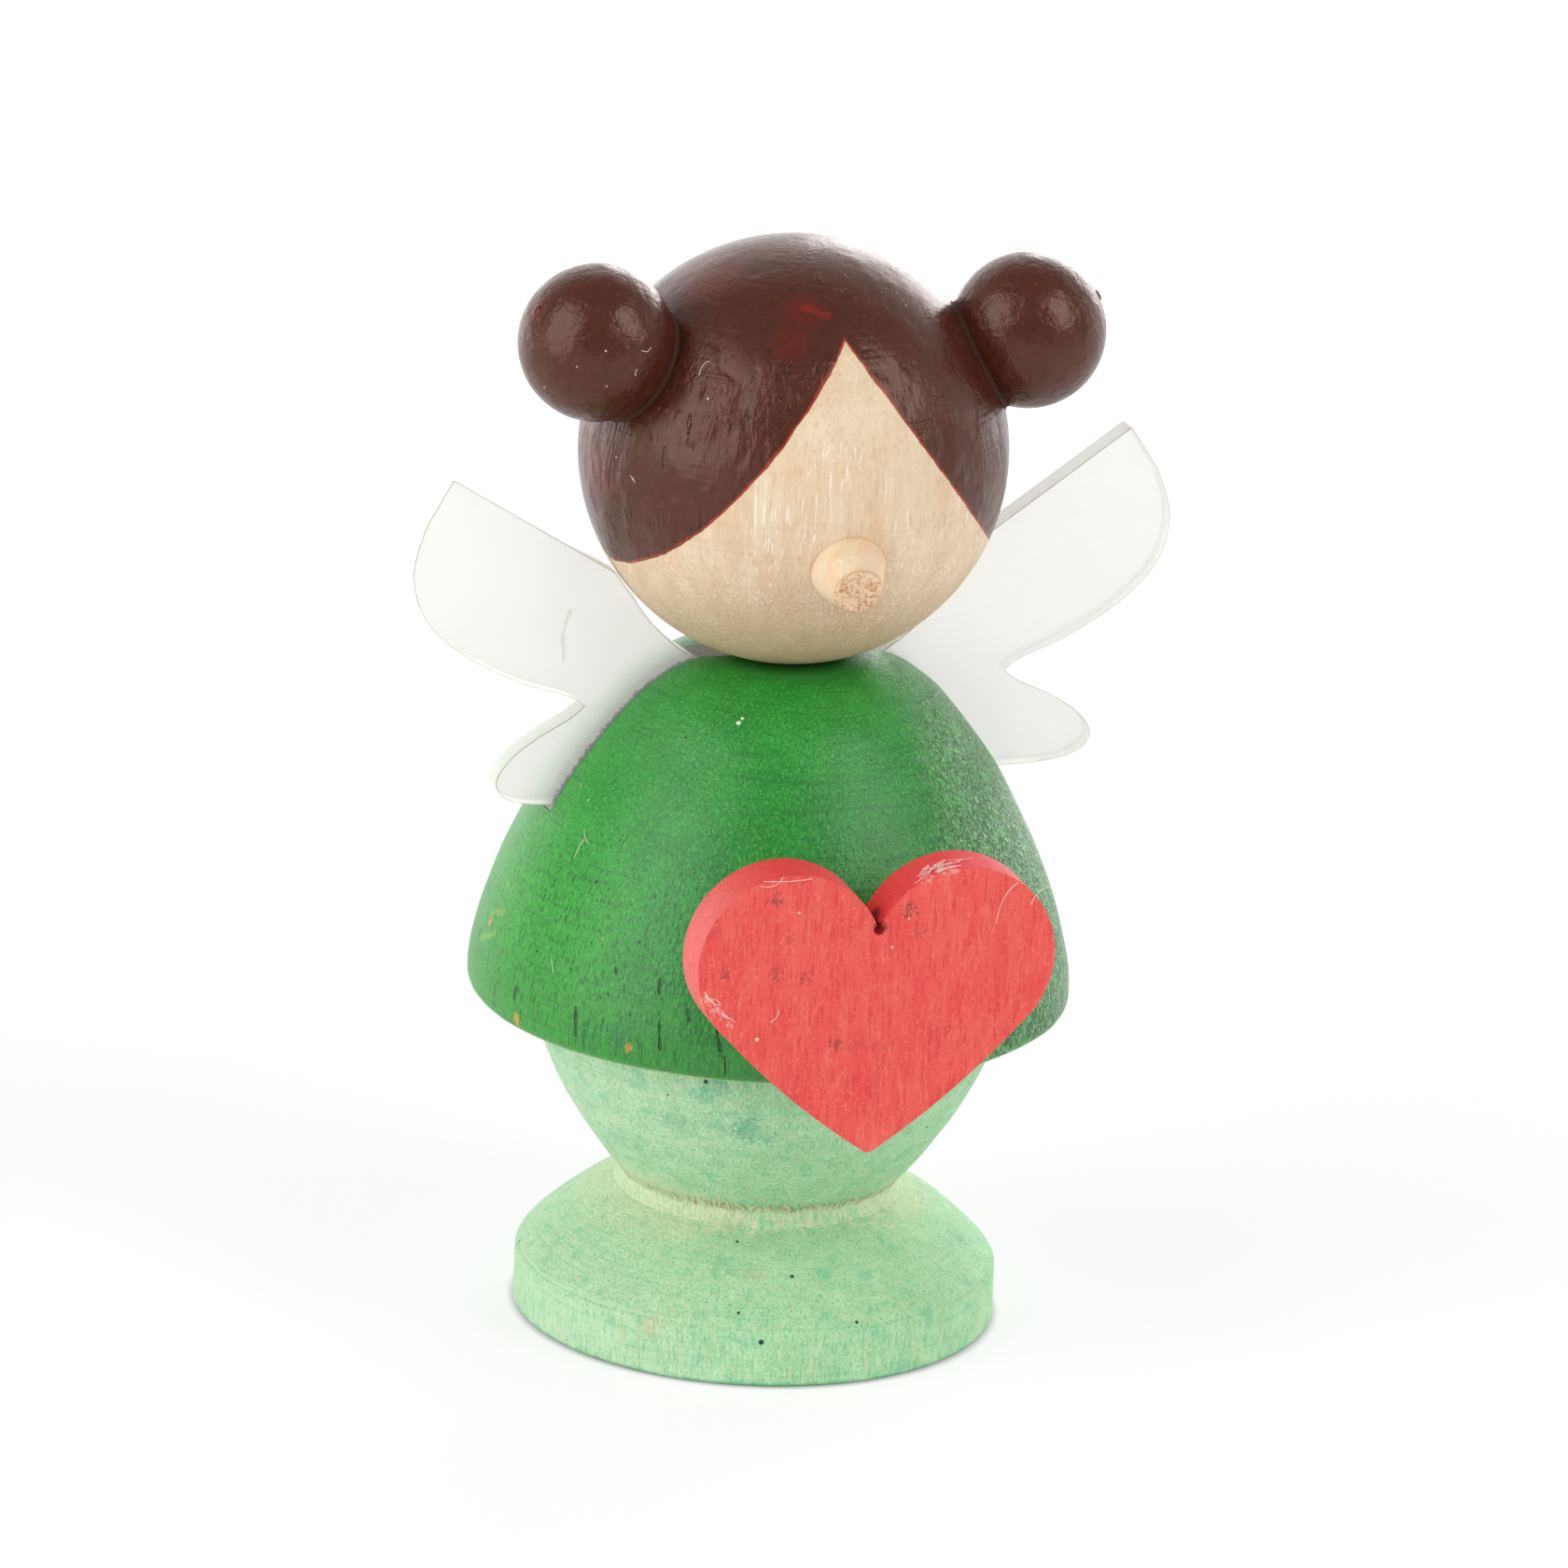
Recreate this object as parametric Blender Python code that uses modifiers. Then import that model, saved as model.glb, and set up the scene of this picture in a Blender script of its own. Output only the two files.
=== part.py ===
"""Wooden fairy figure, a small turned doll with a clear wing plate and a heart.

The figure stands on a mint foot that is turned in one piece with the lower body. A tenon on top of it
carries the green dress, a solid turned dome. A saw kerf runs across the dome and holds one butterfly
plate, the wings. A dowel joins the dress to the ball head, which has two bun balls with tenons, a
tapered nose peg and painted hair. A flat heart is glued to the front of the hem.

The front is -Y, up is +Z and the origin is the middle of the foot's underside. Left and right are
as seen from the front. Every size is in metres.
"""

import math

import bmesh
import bpy
from mathutils import Matrix, Vector

MM = 0.001

# Fits
FIT_GAP = 0.25 * MM               # glue gap round each peg and under each seat

# Foot and lower body
FOOT_RADIUS = 13.15 * MM
FOOT_SIDE_HEIGHT = 3.2 * MM
FOOT_EDGE = 0.15 * MM             # broken edge round the underside
CROWN_HEIGHT = 4.6 * MM           # from the foot's side up to the waist
WAIST_RADIUS = 7.45 * MM
BULB_RADIUS = 12.7 * MM
BULB_HEIGHT = 10.15 * MM          # from the waist up to the dress
TENON_RADIUS = 4.0 * MM
TENON_LENGTH = 6.0 * MM

# Dress
DRESS_RADIUS = 16.32 * MM
DRESS_HEIGHT = 19.2 * MM          # from the hem up to the neck's rim
DRESS_BAND = 0.7 * MM             # from the hem's round edge up to the widest ring
HEM_ROUND = 0.6 * MM
NECK_RADIUS = 5.0 * MM            # rim round the seat of the head
NECK_SEAT_DEPTH = 0.65 * MM       # hollow turned to the ball of the head

# Turned outlines, from the top down, as shares of the way from the smaller to the larger radius
# and from the lower to the upper end
BULB_OUTLINE = ((1.0, 0.867), (0.905, 0.739), (0.781, 0.591), (0.619, 0.433), (0.419, 0.276), (0.2, 0.118))
CROWN_OUTLINE = ((0.079, 0.859), (0.43, 0.609), (0.728, 0.315), (0.939, 0.065))
DRESS_OUTLINE = ((0.088, 0.98), (0.186, 0.944), (0.314, 0.88), (0.446, 0.782), (0.583, 0.665), (0.707, 0.531),
                 (0.835, 0.363), (0.932, 0.196), (0.985, 0.067))

# Kerf across the dress and the wing plate in it, with heights from the plate's lower edge
KERF_DEPTH = 8.3 * MM
WING_THICKNESS = 1.5 * MM
WING_TILT = math.radians(2.6)     # the plate is glued a little off level
WING_SHIFT = 0.8 * MM             # and a little off centre
WING_TIP = (18.8 * MM, 18.5 * MM)
WING_TOP_AT_CENTRE = 6.1 * MM     # where the straight top edges would meet
WING_OUTER = ((19.7 * MM, 17.05 * MM), (20.45 * MM, 15.7 * MM), (21.05 * MM, 13.3 * MM),
              (20.35 * MM, 10.8 * MM), (18.3 * MM, 8.75 * MM), (15.4 * MM, 7.05 * MM), (12.75 * MM, 6.05 * MM))
WING_NOTCH = (11.75 * MM, 5.4 * MM)
WING_LOBE = ((12.6 * MM, 4.75 * MM), (14.4 * MM, 3.8 * MM), (15.85 * MM, 2.75 * MM),
             (16.65 * MM, 1.55 * MM), (16.15 * MM, 0.6 * MM), (14.9 * MM, 0.15 * MM), (13.4 * MM, 0.0))
WING_SCOOP_RADIUS = 10.2 * MM     # hollow of the plate under the head
WING_WEB_HEIGHT = 5.85 * MM       # plate left under that hollow

# Neck dowel and head
DOWEL_RADIUS = 2.0 * MM
DOWEL_IN_DRESS = 3.5 * MM
DOWEL_IN_HEAD = 5.0 * MM
HEAD_RADIUS = 11.5 * MM

# Buns: balls turned with a tenon, a seat hollowed to the head and a parting nub
BUN_RADIUS = 4.17 * MM
BUN_STAND_OUT = 2.5 * MM          # from the head's surface to the ball's centre
BUN_RISE = math.radians(29.5)     # above the level of the head's centre
BUN_FORWARD = math.radians(12.7)  # turned from the side to the front
BUN_TENON_RADIUS = 1.5 * MM
BUN_TENON_LENGTH = 4.0 * MM
BUN_NUB_RADIUS = 0.35 * MM
BUN_NUB_TOP_RADIUS = 0.28 * MM
BUN_NUB_HEIGHT = 0.25 * MM

# Nose peg
NOSE_ROOT_RADIUS = 2.0 * MM
NOSE_TIP_RADIUS = 1.3 * MM
NOSE_LENGTH = 2.0 * MM            # from the head's surface to the tip
NOSE_IN_HEAD = 3.5 * MM
NOSE_EDGE = 0.12 * MM
NOSE_DROP = math.radians(18.5)    # below the level of the head's centre

# Heart
HEART_THICKNESS = 2.7 * MM
HEART_HEIGHT = 15.5 * MM
HEART_LOBE_RADIUS = 5.03 * MM
HEART_LOBE_OFFSET = 4.69 * MM
HEART_SIDE_BULGE = 0.3 * MM       # how far each long side swells out
HEART_TIP_RADIUS = 0.5 * MM
HEART_BELOW_HEM = 2.65 * MM
HEART_NICK_RADIUS = 0.35 * MM     # hole at the bottom of the cleft, where the saw turned

# Facets: how many steps each kind of curve is made in
STEPS = {
    "large ring": 48,             # round the foot, the dress and the head
    "small ring": 28,             # round the buns, the nose and the dowel
    "hollow": 96,                 # round the wide hollows of the wing plate
    "nick": 12,                   # round the nick in the heart's cleft
    "outline": 3,                 # in each stretch of a smooth outline
    "crown": 2,                   # in each stretch of the foot's crown
    "seat": 3,                    # down a hollowed seat
    "edge": 4,                    # round a small edge
    "ball": 14,                   # from a bun's rim to its nub
    "lobe": 22,                   # round each lobe of the heart
    "side": 9,                    # down each long side of the heart
}
SHARP_ANGLE = math.radians(35.0)
MERGE_DISTANCE = 0.01 * MM
CUT_MARGIN = 1.0 * MM             # how far a cutter stands out of what it cuts

# Heights and places that follow from these sizes
waist_height = FOOT_SIDE_HEIGHT + CROWN_HEIGHT
bulb_top = waist_height + BULB_HEIGHT
hem_height = bulb_top + FIT_GAP
widest_ring = hem_height + HEM_ROUND + DRESS_BAND
dress_top = hem_height + DRESS_HEIGHT
kerf_floor = dress_top - KERF_DEPTH
head_seat = HEAD_RADIUS + FIT_GAP
head_centre = Vector((0.0, 0.0, dress_top - NECK_SEAT_DEPTH + head_seat))
dowel_bottom = dress_top - DOWEL_IN_DRESS
dowel_top = head_centre.z - HEAD_RADIUS + DOWEL_IN_HEAD
bun_distance = HEAD_RADIUS + BUN_STAND_OUT


def clear_scene():
    """Remove every object, so that the figure stands alone."""
    for item in list(bpy.data.objects):
        bpy.data.objects.remove(item, do_unlink=True)


def new_collection(name):
    """Make a collection in the scene."""
    collection = bpy.data.collections.new(name)
    bpy.context.scene.collection.children.link(collection)
    return collection


def new_material(name, colour, roughness, transmission=0.0):
    """Make a plain Principled material."""
    material = bpy.data.materials.new(name)
    material.use_nodes = True
    shader = material.node_tree.nodes["Principled BSDF"]
    shader.inputs["Base Color"].default_value = (*colour, 1.0)
    shader.inputs["Roughness"].default_value = roughness
    shader.inputs["Metallic"].default_value = 0.0
    shader.inputs["Transmission Weight"].default_value = transmission
    return material


def add_object(name, mesh, collection, material=None):
    """Put a mesh into the scene as a named object."""
    item = bpy.data.objects.new(name, mesh)
    collection.objects.link(item)
    if material is not None:
        mesh.materials.append(material)
    return item


def between(shares, low, high):
    """Outline points at shares of the way from one pair of radius and height to another."""
    return [tuple(a + (b - a) * share for a, b, share in zip(low, high, pair)) for pair in shares]


def smooth_line(points, steps=STEPS["outline"]):
    """Points on a Catmull-Rom curve through the given outline points."""
    ends = [points[0], *points, points[-1]]
    line = []
    for before, start, end, after in zip(ends, ends[1:], ends[2:], ends[3:]):
        for step in range(steps):
            t = step / steps
            weights = ((-t + 2 * t ** 2 - t ** 3) / 2, (2 - 5 * t ** 2 + 3 * t ** 3) / 2,
                       (t + 4 * t ** 2 - 3 * t ** 3) / 2, (t ** 3 - t ** 2) / 2)
            corners = zip(before, start, end, after)
            line.append(tuple(sum(w * value for w, value in zip(weights, values)) for values in corners))
    return line + [points[-1]]


def arc(centre, radius, start, end, steps):
    """Points along a circular arc, with angles in radians from the first axis."""
    angles = [start + (end - start) * step / steps for step in range(steps + 1)]
    return [(centre[0] + radius * math.cos(a), centre[1] + radius * math.sin(a)) for a in angles]


def turned(name, profile, steps, collection, material):
    """Turn a profile of radius and height round Z, from its top down the outer side."""
    mesh = bpy.data.meshes.new(name)
    points = [(radius, 0.0, height) for radius, height in profile]
    mesh.from_pydata(points, [(i, i + 1) for i in range(len(points) - 1)], [])
    item = add_object(name, mesh, collection, material)
    screw = item.modifiers.new("turning", "SCREW")
    screw.axis = "Z"
    screw.steps = steps
    screw.render_steps = steps
    screw.use_merge_vertices = True
    screw.merge_threshold = MERGE_DISTANCE
    screw.use_smooth_shade = True
    return item


def finish_mesh(item):
    """Apply a piece's modifiers and shade it smooth, with its real corners kept sharp."""
    mesh = bpy.data.meshes.new_from_object(item.evaluated_get(bpy.context.evaluated_depsgraph_get()))
    item.modifiers.clear()
    item.data = mesh
    mesh.shade_smooth()
    mesh.set_sharp_from_angle(angle=SHARP_ANGLE)
    return item


def plate(name, outline, thickness, collection, material):
    """A flat plate in the XZ plane, centred on y = 0, from an outline of x and height."""
    curve = bpy.data.curves.new(name, "CURVE")
    curve.dimensions = "2D"
    curve.fill_mode = "BOTH"
    curve.extrude = thickness / 2
    spline = curve.splines.new("POLY")
    spline.points.add(len(outline) - 1)
    for point, (x, height) in zip(spline.points, outline):
        point.co = (x, height, 0.0, 1.0)
    spline.use_cyclic_u = True
    guide = bpy.data.objects.new(name + "_outline", curve)
    collection.objects.link(guide)
    mesh = bpy.data.meshes.new_from_object(guide.evaluated_get(bpy.context.evaluated_depsgraph_get()))
    bpy.data.objects.remove(guide, do_unlink=True)
    shape = bmesh.new()
    shape.from_mesh(mesh)
    bmesh.ops.remove_doubles(shape, verts=shape.verts, dist=MERGE_DISTANCE)
    bmesh.ops.rotate(shape, verts=shape.verts, matrix=Matrix.Rotation(math.pi / 2, 3, "X"))
    bmesh.ops.recalc_face_normals(shape, faces=shape.faces)
    shape.to_mesh(mesh)
    shape.free()
    mesh.name = name
    return add_object(name, mesh, collection, material)


def add_cutter(name, shape, collection):
    """Make a cutter from a bmesh and keep it out of the model itself."""
    mesh = bpy.data.meshes.new(name)
    shape.to_mesh(mesh)
    shape.free()
    item = add_object(name, mesh, collection)
    item.hide_render = True
    item.display_type = "WIRE"
    return item


def cylinder_cutter(name, radius, length, steps, place, collection):
    """A cylinder that starts at its own origin and runs up Z, then is put in place."""
    shape = bmesh.new()
    middle = Matrix.Translation((0.0, 0.0, length / 2))
    bmesh.ops.create_cone(shape, cap_ends=True, segments=steps, radius1=radius, radius2=radius, depth=length,
                          matrix=place @ middle)
    return add_cutter(name, shape, collection)


def box_cutter(name, low, high, collection):
    """A box between two corners."""
    shape = bmesh.new()
    size = Vector(high) - Vector(low)
    middle = (Vector(high) + Vector(low)) / 2
    bmesh.ops.create_cube(shape, size=1.0, matrix=Matrix.Translation(middle) @ Matrix.Diagonal((*size, 1.0)))
    return add_cutter(name, shape, collection)


def cut(item, cutter):
    """Take a cutter's shape out of a piece."""
    boolean = item.modifiers.new("cut " + cutter.name, "BOOLEAN")
    boolean.operation = "DIFFERENCE"
    boolean.solver = "EXACT"
    boolean.object = cutter


def from_head(direction, distance=0.0):
    """The place at a distance from the head's centre, with Z pointing along a direction."""
    turn = direction.to_track_quat("Z", "Y").to_matrix().to_4x4()
    return Matrix.Translation(head_centre + direction * distance) @ turn


def bun_direction(side):
    """The way from the head's centre to a bun, with side -1 for left and 1 for right."""
    level = Vector((side * math.cos(BUN_FORWARD), -math.sin(BUN_FORWARD), 0.0))
    return level * math.cos(BUN_RISE) + Vector((0.0, 0.0, math.sin(BUN_RISE)))


def nose_direction():
    """The way from the head's centre to the nose."""
    return Vector((0.0, -math.cos(NOSE_DROP), -math.sin(NOSE_DROP)))


def build_lower_body(collection, material):
    """Foot, waist, bulb and tenon, turned in one piece."""
    tenon_top = bulb_top + TENON_LENGTH
    bulb = between(BULB_OUTLINE, (WAIST_RADIUS, waist_height), (BULB_RADIUS, bulb_top))
    crown = between(CROWN_OUTLINE, (WAIST_RADIUS, FOOT_SIDE_HEIGHT), (FOOT_RADIUS, waist_height))
    profile = [(0.0, tenon_top), (TENON_RADIUS, tenon_top), (TENON_RADIUS, bulb_top)]
    profile += smooth_line([(BULB_RADIUS, bulb_top), *bulb, (WAIST_RADIUS, waist_height)])
    profile += smooth_line([*crown, (FOOT_RADIUS, FOOT_SIDE_HEIGHT)], STEPS["crown"])
    profile += [(FOOT_RADIUS, FOOT_EDGE), (FOOT_RADIUS - FOOT_EDGE, 0.0), (0.0, 0.0)]
    return finish_mesh(turned("lower_body", profile, STEPS["large ring"], collection, material))


def build_dress(collection, cutters, material):
    """Solid dome with a seat for the head, blind holes for dowel and tenon, and the kerf for the wings."""
    bore = DOWEL_RADIUS + FIT_GAP
    bore_floor = dowel_bottom - FIT_GAP
    tenon_bore = TENON_RADIUS + FIT_GAP
    tenon_floor = bulb_top + TENON_LENGTH + FIT_GAP
    seat_inner = -math.acos(bore / head_seat)
    seat_outer = -math.asin((head_centre.z - dress_top) / head_seat)
    outline = between(DRESS_OUTLINE, (NECK_RADIUS, widest_ring), (DRESS_RADIUS, dress_top))
    profile = [(0.0, bore_floor), (bore, bore_floor)]
    profile += arc((0.0, head_centre.z), head_seat, seat_inner, seat_outer, STEPS["seat"])
    profile += smooth_line([(NECK_RADIUS, dress_top), *outline, (DRESS_RADIUS, widest_ring)])
    edge_centre = (DRESS_RADIUS - HEM_ROUND, hem_height + HEM_ROUND)
    profile += arc(edge_centre, HEM_ROUND, 0.0, -math.pi / 2, STEPS["edge"])
    profile += [(tenon_bore, hem_height), (tenon_bore, tenon_floor), (0.0, tenon_floor)]
    dress = turned("dress", profile, STEPS["large ring"], collection, material)
    half = WING_THICKNESS / 2 + FIT_GAP
    reach = DRESS_RADIUS + CUT_MARGIN
    low, high = (-reach, -half, kerf_floor), (reach, half, dress_top + CUT_MARGIN)
    cut(dress, box_cutter("kerf", low, high, cutters))
    return finish_mesh(dress)


def build_wings(collection, cutters, material):
    """One butterfly plate: straight top edges, two lobes a side, hollows for the head and the dowel."""
    side = smooth_line([WING_TIP, *WING_OUTER, WING_NOTCH])
    side += smooth_line([WING_NOTCH, *WING_LOBE])[1:]
    outline = [(0.0, WING_TOP_AT_CENTRE)] + side + [(-x, height) for x, height in reversed(side)]
    wings = plate("wings", outline, WING_THICKNESS, collection, material)
    lowest = min(x * math.sin(WING_TILT) + height * math.cos(WING_TILT) for x, height in outline)
    bottom = Vector((WING_SHIFT, 0.0, kerf_floor + FIT_GAP - lowest))
    tilted = Matrix.Translation(bottom) @ Matrix.Rotation(-WING_TILT, 4, "Y")
    wings.data.transform(tilted)
    depth = WING_THICKNESS + 2 * CUT_MARGIN
    across = Matrix.Translation((0.0, -depth / 2, 0.0)) @ Matrix.Rotation(-math.pi / 2, 4, "X")
    scoop_place = tilted @ Matrix.Translation((0.0, 0.0, WING_WEB_HEIGHT + WING_SCOOP_RADIUS)) @ across
    cut(wings, cylinder_cutter("scoop", WING_SCOOP_RADIUS, depth, STEPS["hollow"], scoop_place, cutters))
    relief_place = Matrix.Translation(head_centre) @ across
    cut(wings, cylinder_cutter("head_relief", head_seat, depth, STEPS["hollow"], relief_place, cutters))
    half = DOWEL_RADIUS + FIT_GAP
    low = (-half, -depth / 2, dowel_bottom - FIT_GAP)
    cut(wings, box_cutter("dowel_notch", low, (half, depth / 2, dress_top), cutters))
    return finish_mesh(wings)


def build_neck_dowel(collection, material):
    """Plain dowel from the dress into the head."""
    profile = [(0.0, dowel_top), (DOWEL_RADIUS, dowel_top), (DOWEL_RADIUS, dowel_bottom), (0.0, dowel_bottom)]
    return finish_mesh(turned("neck_dowel", profile, STEPS["small ring"], collection, material))


def build_head(collection, cutters, material):
    """Ball with a bore for the neck dowel, two for the buns and one for the nose."""
    segments = STEPS["large ring"]
    bpy.ops.mesh.primitive_uv_sphere_add(segments=segments, ring_count=segments // 2, radius=HEAD_RADIUS)
    head = bpy.context.object
    for owner in list(head.users_collection):
        owner.objects.unlink(head)
    collection.objects.link(head)
    head.name = "head"
    head.data.materials.append(material)
    head.data.transform(Matrix.Translation(head_centre))
    bores = [("neck_bore", Vector((0.0, 0.0, -1.0)), DOWEL_RADIUS, DOWEL_IN_HEAD),
             ("nose_bore", nose_direction(), NOSE_ROOT_RADIUS, NOSE_IN_HEAD),
             ("bun_bore_left", bun_direction(-1), BUN_TENON_RADIUS, BUN_TENON_LENGTH),
             ("bun_bore_right", bun_direction(1), BUN_TENON_RADIUS, BUN_TENON_LENGTH)]
    for name, direction, radius, depth in bores:
        start = HEAD_RADIUS - depth - FIT_GAP
        length = HEAD_RADIUS + CUT_MARGIN - start
        place = from_head(direction, start)
        cut(head, cylinder_cutter(name, radius + FIT_GAP, length, STEPS["small ring"], place, cutters))
    return finish_mesh(head)


def build_bun(name, side, collection, material):
    """Ball with a parting nub outside, and inside a seat hollowed to the head and a tenon."""
    seat_rim = (bun_distance ** 2 + head_seat ** 2 - BUN_RADIUS ** 2) / (2 * bun_distance)
    rim_on_ball = math.asin((seat_rim - bun_distance) / BUN_RADIUS)
    nub_on_ball = math.acos(BUN_NUB_RADIUS / BUN_RADIUS)
    rim_on_seat = math.asin(seat_rim / head_seat)
    tenon_on_seat = math.acos(BUN_TENON_RADIUS / head_seat)
    nub_top = bun_distance + BUN_RADIUS + BUN_NUB_HEIGHT
    tenon_end = HEAD_RADIUS - BUN_TENON_LENGTH
    profile = [(0.0, nub_top), (BUN_NUB_TOP_RADIUS, nub_top)]
    profile += arc((0.0, bun_distance), BUN_RADIUS, nub_on_ball, rim_on_ball, STEPS["ball"])
    profile += arc((0.0, 0.0), head_seat, rim_on_seat, tenon_on_seat, STEPS["seat"])[1:]
    profile += [(BUN_TENON_RADIUS, tenon_end), (0.0, tenon_end)]
    bun = finish_mesh(turned(name, profile, STEPS["small ring"], collection, material))
    bun.data.transform(from_head(bun_direction(side)))
    return bun


def build_nose(collection, material):
    """Tapered peg with its end grain showing."""
    tip = HEAD_RADIUS + NOSE_LENGTH
    end = HEAD_RADIUS - NOSE_IN_HEAD
    profile = [(0.0, tip), (NOSE_TIP_RADIUS - NOSE_EDGE, tip), (NOSE_TIP_RADIUS, tip - NOSE_EDGE),
               (NOSE_ROOT_RADIUS, HEAD_RADIUS), (NOSE_ROOT_RADIUS, end), (0.0, end)]
    nose = finish_mesh(turned("nose", profile, STEPS["small ring"], collection, material))
    nose.data.transform(from_head(nose_direction()))
    return nose


def heart_outline():
    """Half of the heart as round lobe, swelling side and round tip, then its mirror image."""
    lobe_centre = Vector((HEART_LOBE_OFFSET, HEART_HEIGHT - HEART_LOBE_RADIUS))
    tip_centre = Vector((0.0, HEART_TIP_RADIUS))
    down = tip_centre - lobe_centre
    cleft = math.pi - math.acos(HEART_LOBE_OFFSET / HEART_LOBE_RADIUS)
    touch = math.atan2(down.y, down.x) + math.acos((HEART_LOBE_RADIUS - HEART_TIP_RADIUS) / down.length)
    lobe = arc(lobe_centre, HEART_LOBE_RADIUS, cleft, touch, STEPS["lobe"])
    tip = arc(tip_centre, HEART_TIP_RADIUS, touch, -math.pi / 2, STEPS["edge"])
    outward = Vector((math.cos(touch), math.sin(touch)))
    side = []
    for step in range(1, STEPS["side"]):
        t = step / STEPS["side"]
        swell = HEART_SIDE_BULGE * 4 * t * (1 - t)
        side.append(tuple(Vector(lobe[-1]).lerp(Vector(tip[0]), t) + outward * swell))
    half = lobe + side + tip
    return half + [(-x, height) for x, height in reversed(half[1:-1])]


def build_heart(collection, cutters, material):
    """Flat sawn heart with a nick in its cleft, whose back meets the widest ring of the dress."""
    outline = heart_outline()
    heart = plate("heart", outline, HEART_THICKNESS, collection, material)
    back = -(DRESS_RADIUS + FIT_GAP)
    place = Matrix.Translation((0.0, back - HEART_THICKNESS / 2, hem_height - HEART_BELOW_HEM))
    heart.data.transform(place)
    depth = HEART_THICKNESS + 2 * CUT_MARGIN
    cleft = Matrix.Translation((0.0, -depth / 2, outline[0][1])) @ Matrix.Rotation(-math.pi / 2, 4, "X")
    cut(heart, cylinder_cutter("nick", HEART_NICK_RADIUS, depth, STEPS["nick"], place @ cleft, cutters))
    return finish_mesh(heart)


def build_figure():
    """Make every piece of the figure."""
    clear_scene()
    figure = new_collection("wooden_fairy_figure")
    cutters = new_collection("cutters")
    mint_wood = new_material("mint_wood", (0.30, 0.68, 0.36), 0.6)
    green_wood = new_material("green_wood", (0.03, 0.22, 0.04), 0.45)
    natural_wood = new_material("natural_wood", (0.62, 0.45, 0.28), 0.55)
    brown_paint = new_material("brown_paint", (0.08, 0.025, 0.018), 0.35)
    red_wood = new_material("red_wood", (0.72, 0.07, 0.07), 0.55)
    clear_plate = new_material("clear_plate", (0.85, 0.85, 0.80), 0.4, transmission=0.6)
    build_lower_body(figure, mint_wood)
    build_dress(figure, cutters, green_wood)
    build_wings(figure, cutters, clear_plate)
    build_neck_dowel(figure, natural_wood)
    build_head(figure, cutters, natural_wood)
    build_bun("bun_left", -1, figure, brown_paint)
    build_bun("bun_right", 1, figure, brown_paint)
    build_nose(figure, natural_wood)
    build_heart(figure, cutters, red_wood)


build_figure()
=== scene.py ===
import math
import random

import bmesh
import bpy
from mathutils import Matrix, Vector


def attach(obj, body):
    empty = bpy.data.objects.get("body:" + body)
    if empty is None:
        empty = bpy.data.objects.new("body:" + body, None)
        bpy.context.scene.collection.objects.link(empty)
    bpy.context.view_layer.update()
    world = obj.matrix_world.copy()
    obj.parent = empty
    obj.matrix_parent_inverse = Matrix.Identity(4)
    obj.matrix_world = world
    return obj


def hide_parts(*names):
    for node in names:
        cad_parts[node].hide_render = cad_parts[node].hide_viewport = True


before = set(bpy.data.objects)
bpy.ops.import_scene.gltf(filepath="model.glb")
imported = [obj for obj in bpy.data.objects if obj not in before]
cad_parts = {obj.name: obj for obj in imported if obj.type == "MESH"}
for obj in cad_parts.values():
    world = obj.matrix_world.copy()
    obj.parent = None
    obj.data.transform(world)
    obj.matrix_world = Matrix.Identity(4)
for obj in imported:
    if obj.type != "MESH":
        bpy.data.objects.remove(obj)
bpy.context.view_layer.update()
MM = 0.001

# Foot and lower body: one piece of pale hardwood, turned with its grain upright and stained mint. The
# tool left a rough ring in the waist, where the stain took badly. A tenon on top goes into the dress.
FIT_GAP = 0.25 * MM
FOOT_RADIUS = 13.15 * MM
FOOT_SIDE_HEIGHT = 3.2 * MM
FOOT_EDGE = 0.3 * MM
CROWN_HEIGHT = 4.6 * MM
WAIST_RADIUS = 7.45 * MM
BULB_RADIUS = 12.7 * MM
BULB_HEIGHT = 10.15 * MM
TENON_RADIUS = 4.0 * MM
TENON_LENGTH = 6.0 * MM
BULB_OUTLINE = ((1.0, 0.867), (0.905, 0.739), (0.781, 0.591), (0.619, 0.433), (0.419, 0.276), (0.2, 0.118))
CROWN_OUTLINE = ((0.079, 0.859), (0.43, 0.609), (0.728, 0.315), (0.939, 0.065))
WAIST_FILLET = 0.45 * MM
FOOT_SHOULDER = 0.3 * MM
CHATTER_RIDGES = 120
WELD_DISTANCE = 0.002 * MM
TEAL_DROPS = (((-6.0, -11.2, 16.7), 1.0), ((-4.1, -10.9, 14.1), 1.1), ((-7.4, -8.9, 13.8), 0.8),
              ((-3.1, -11.0, 13.6), 0.6), ((5.5, 10.2, 14.5), 1.2), ((9.8, -5.0, 4.9), 0.9))
MINT_SPECKS = (((-3.5, -8.1, 6.6), 0.13), ((-1.1, -10.6, 5.4), 0.15), ((-3.3, -12.7, 2.6), 0.2),
               ((-6.5, -10.9, 16.9), 0.17), ((-8.1, -9.3, 15.7), 0.1), ((-4.3, -11.6, 3.9), 0.12),
               ((2.0, -12.7, 3.4), 0.13), ((6.6, -8.9, 12.9), 0.1), ((-12.7, 2.4, 3.3), 0.13),
               ((7.0, 9.3, 13.0), 0.16), ((2.5, 12.9, 2.0), 0.17))
PINK_PATCHES = (((-3.7, -6.9, 7.3), 0.9), ((-8.7, -9.9, 2.8), 0.9), ((-3.0, -10.2, 5.6), 0.7))
waist_height = FOOT_SIDE_HEIGHT + CROWN_HEIGHT
bulb_top = waist_height + BULB_HEIGHT


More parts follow.
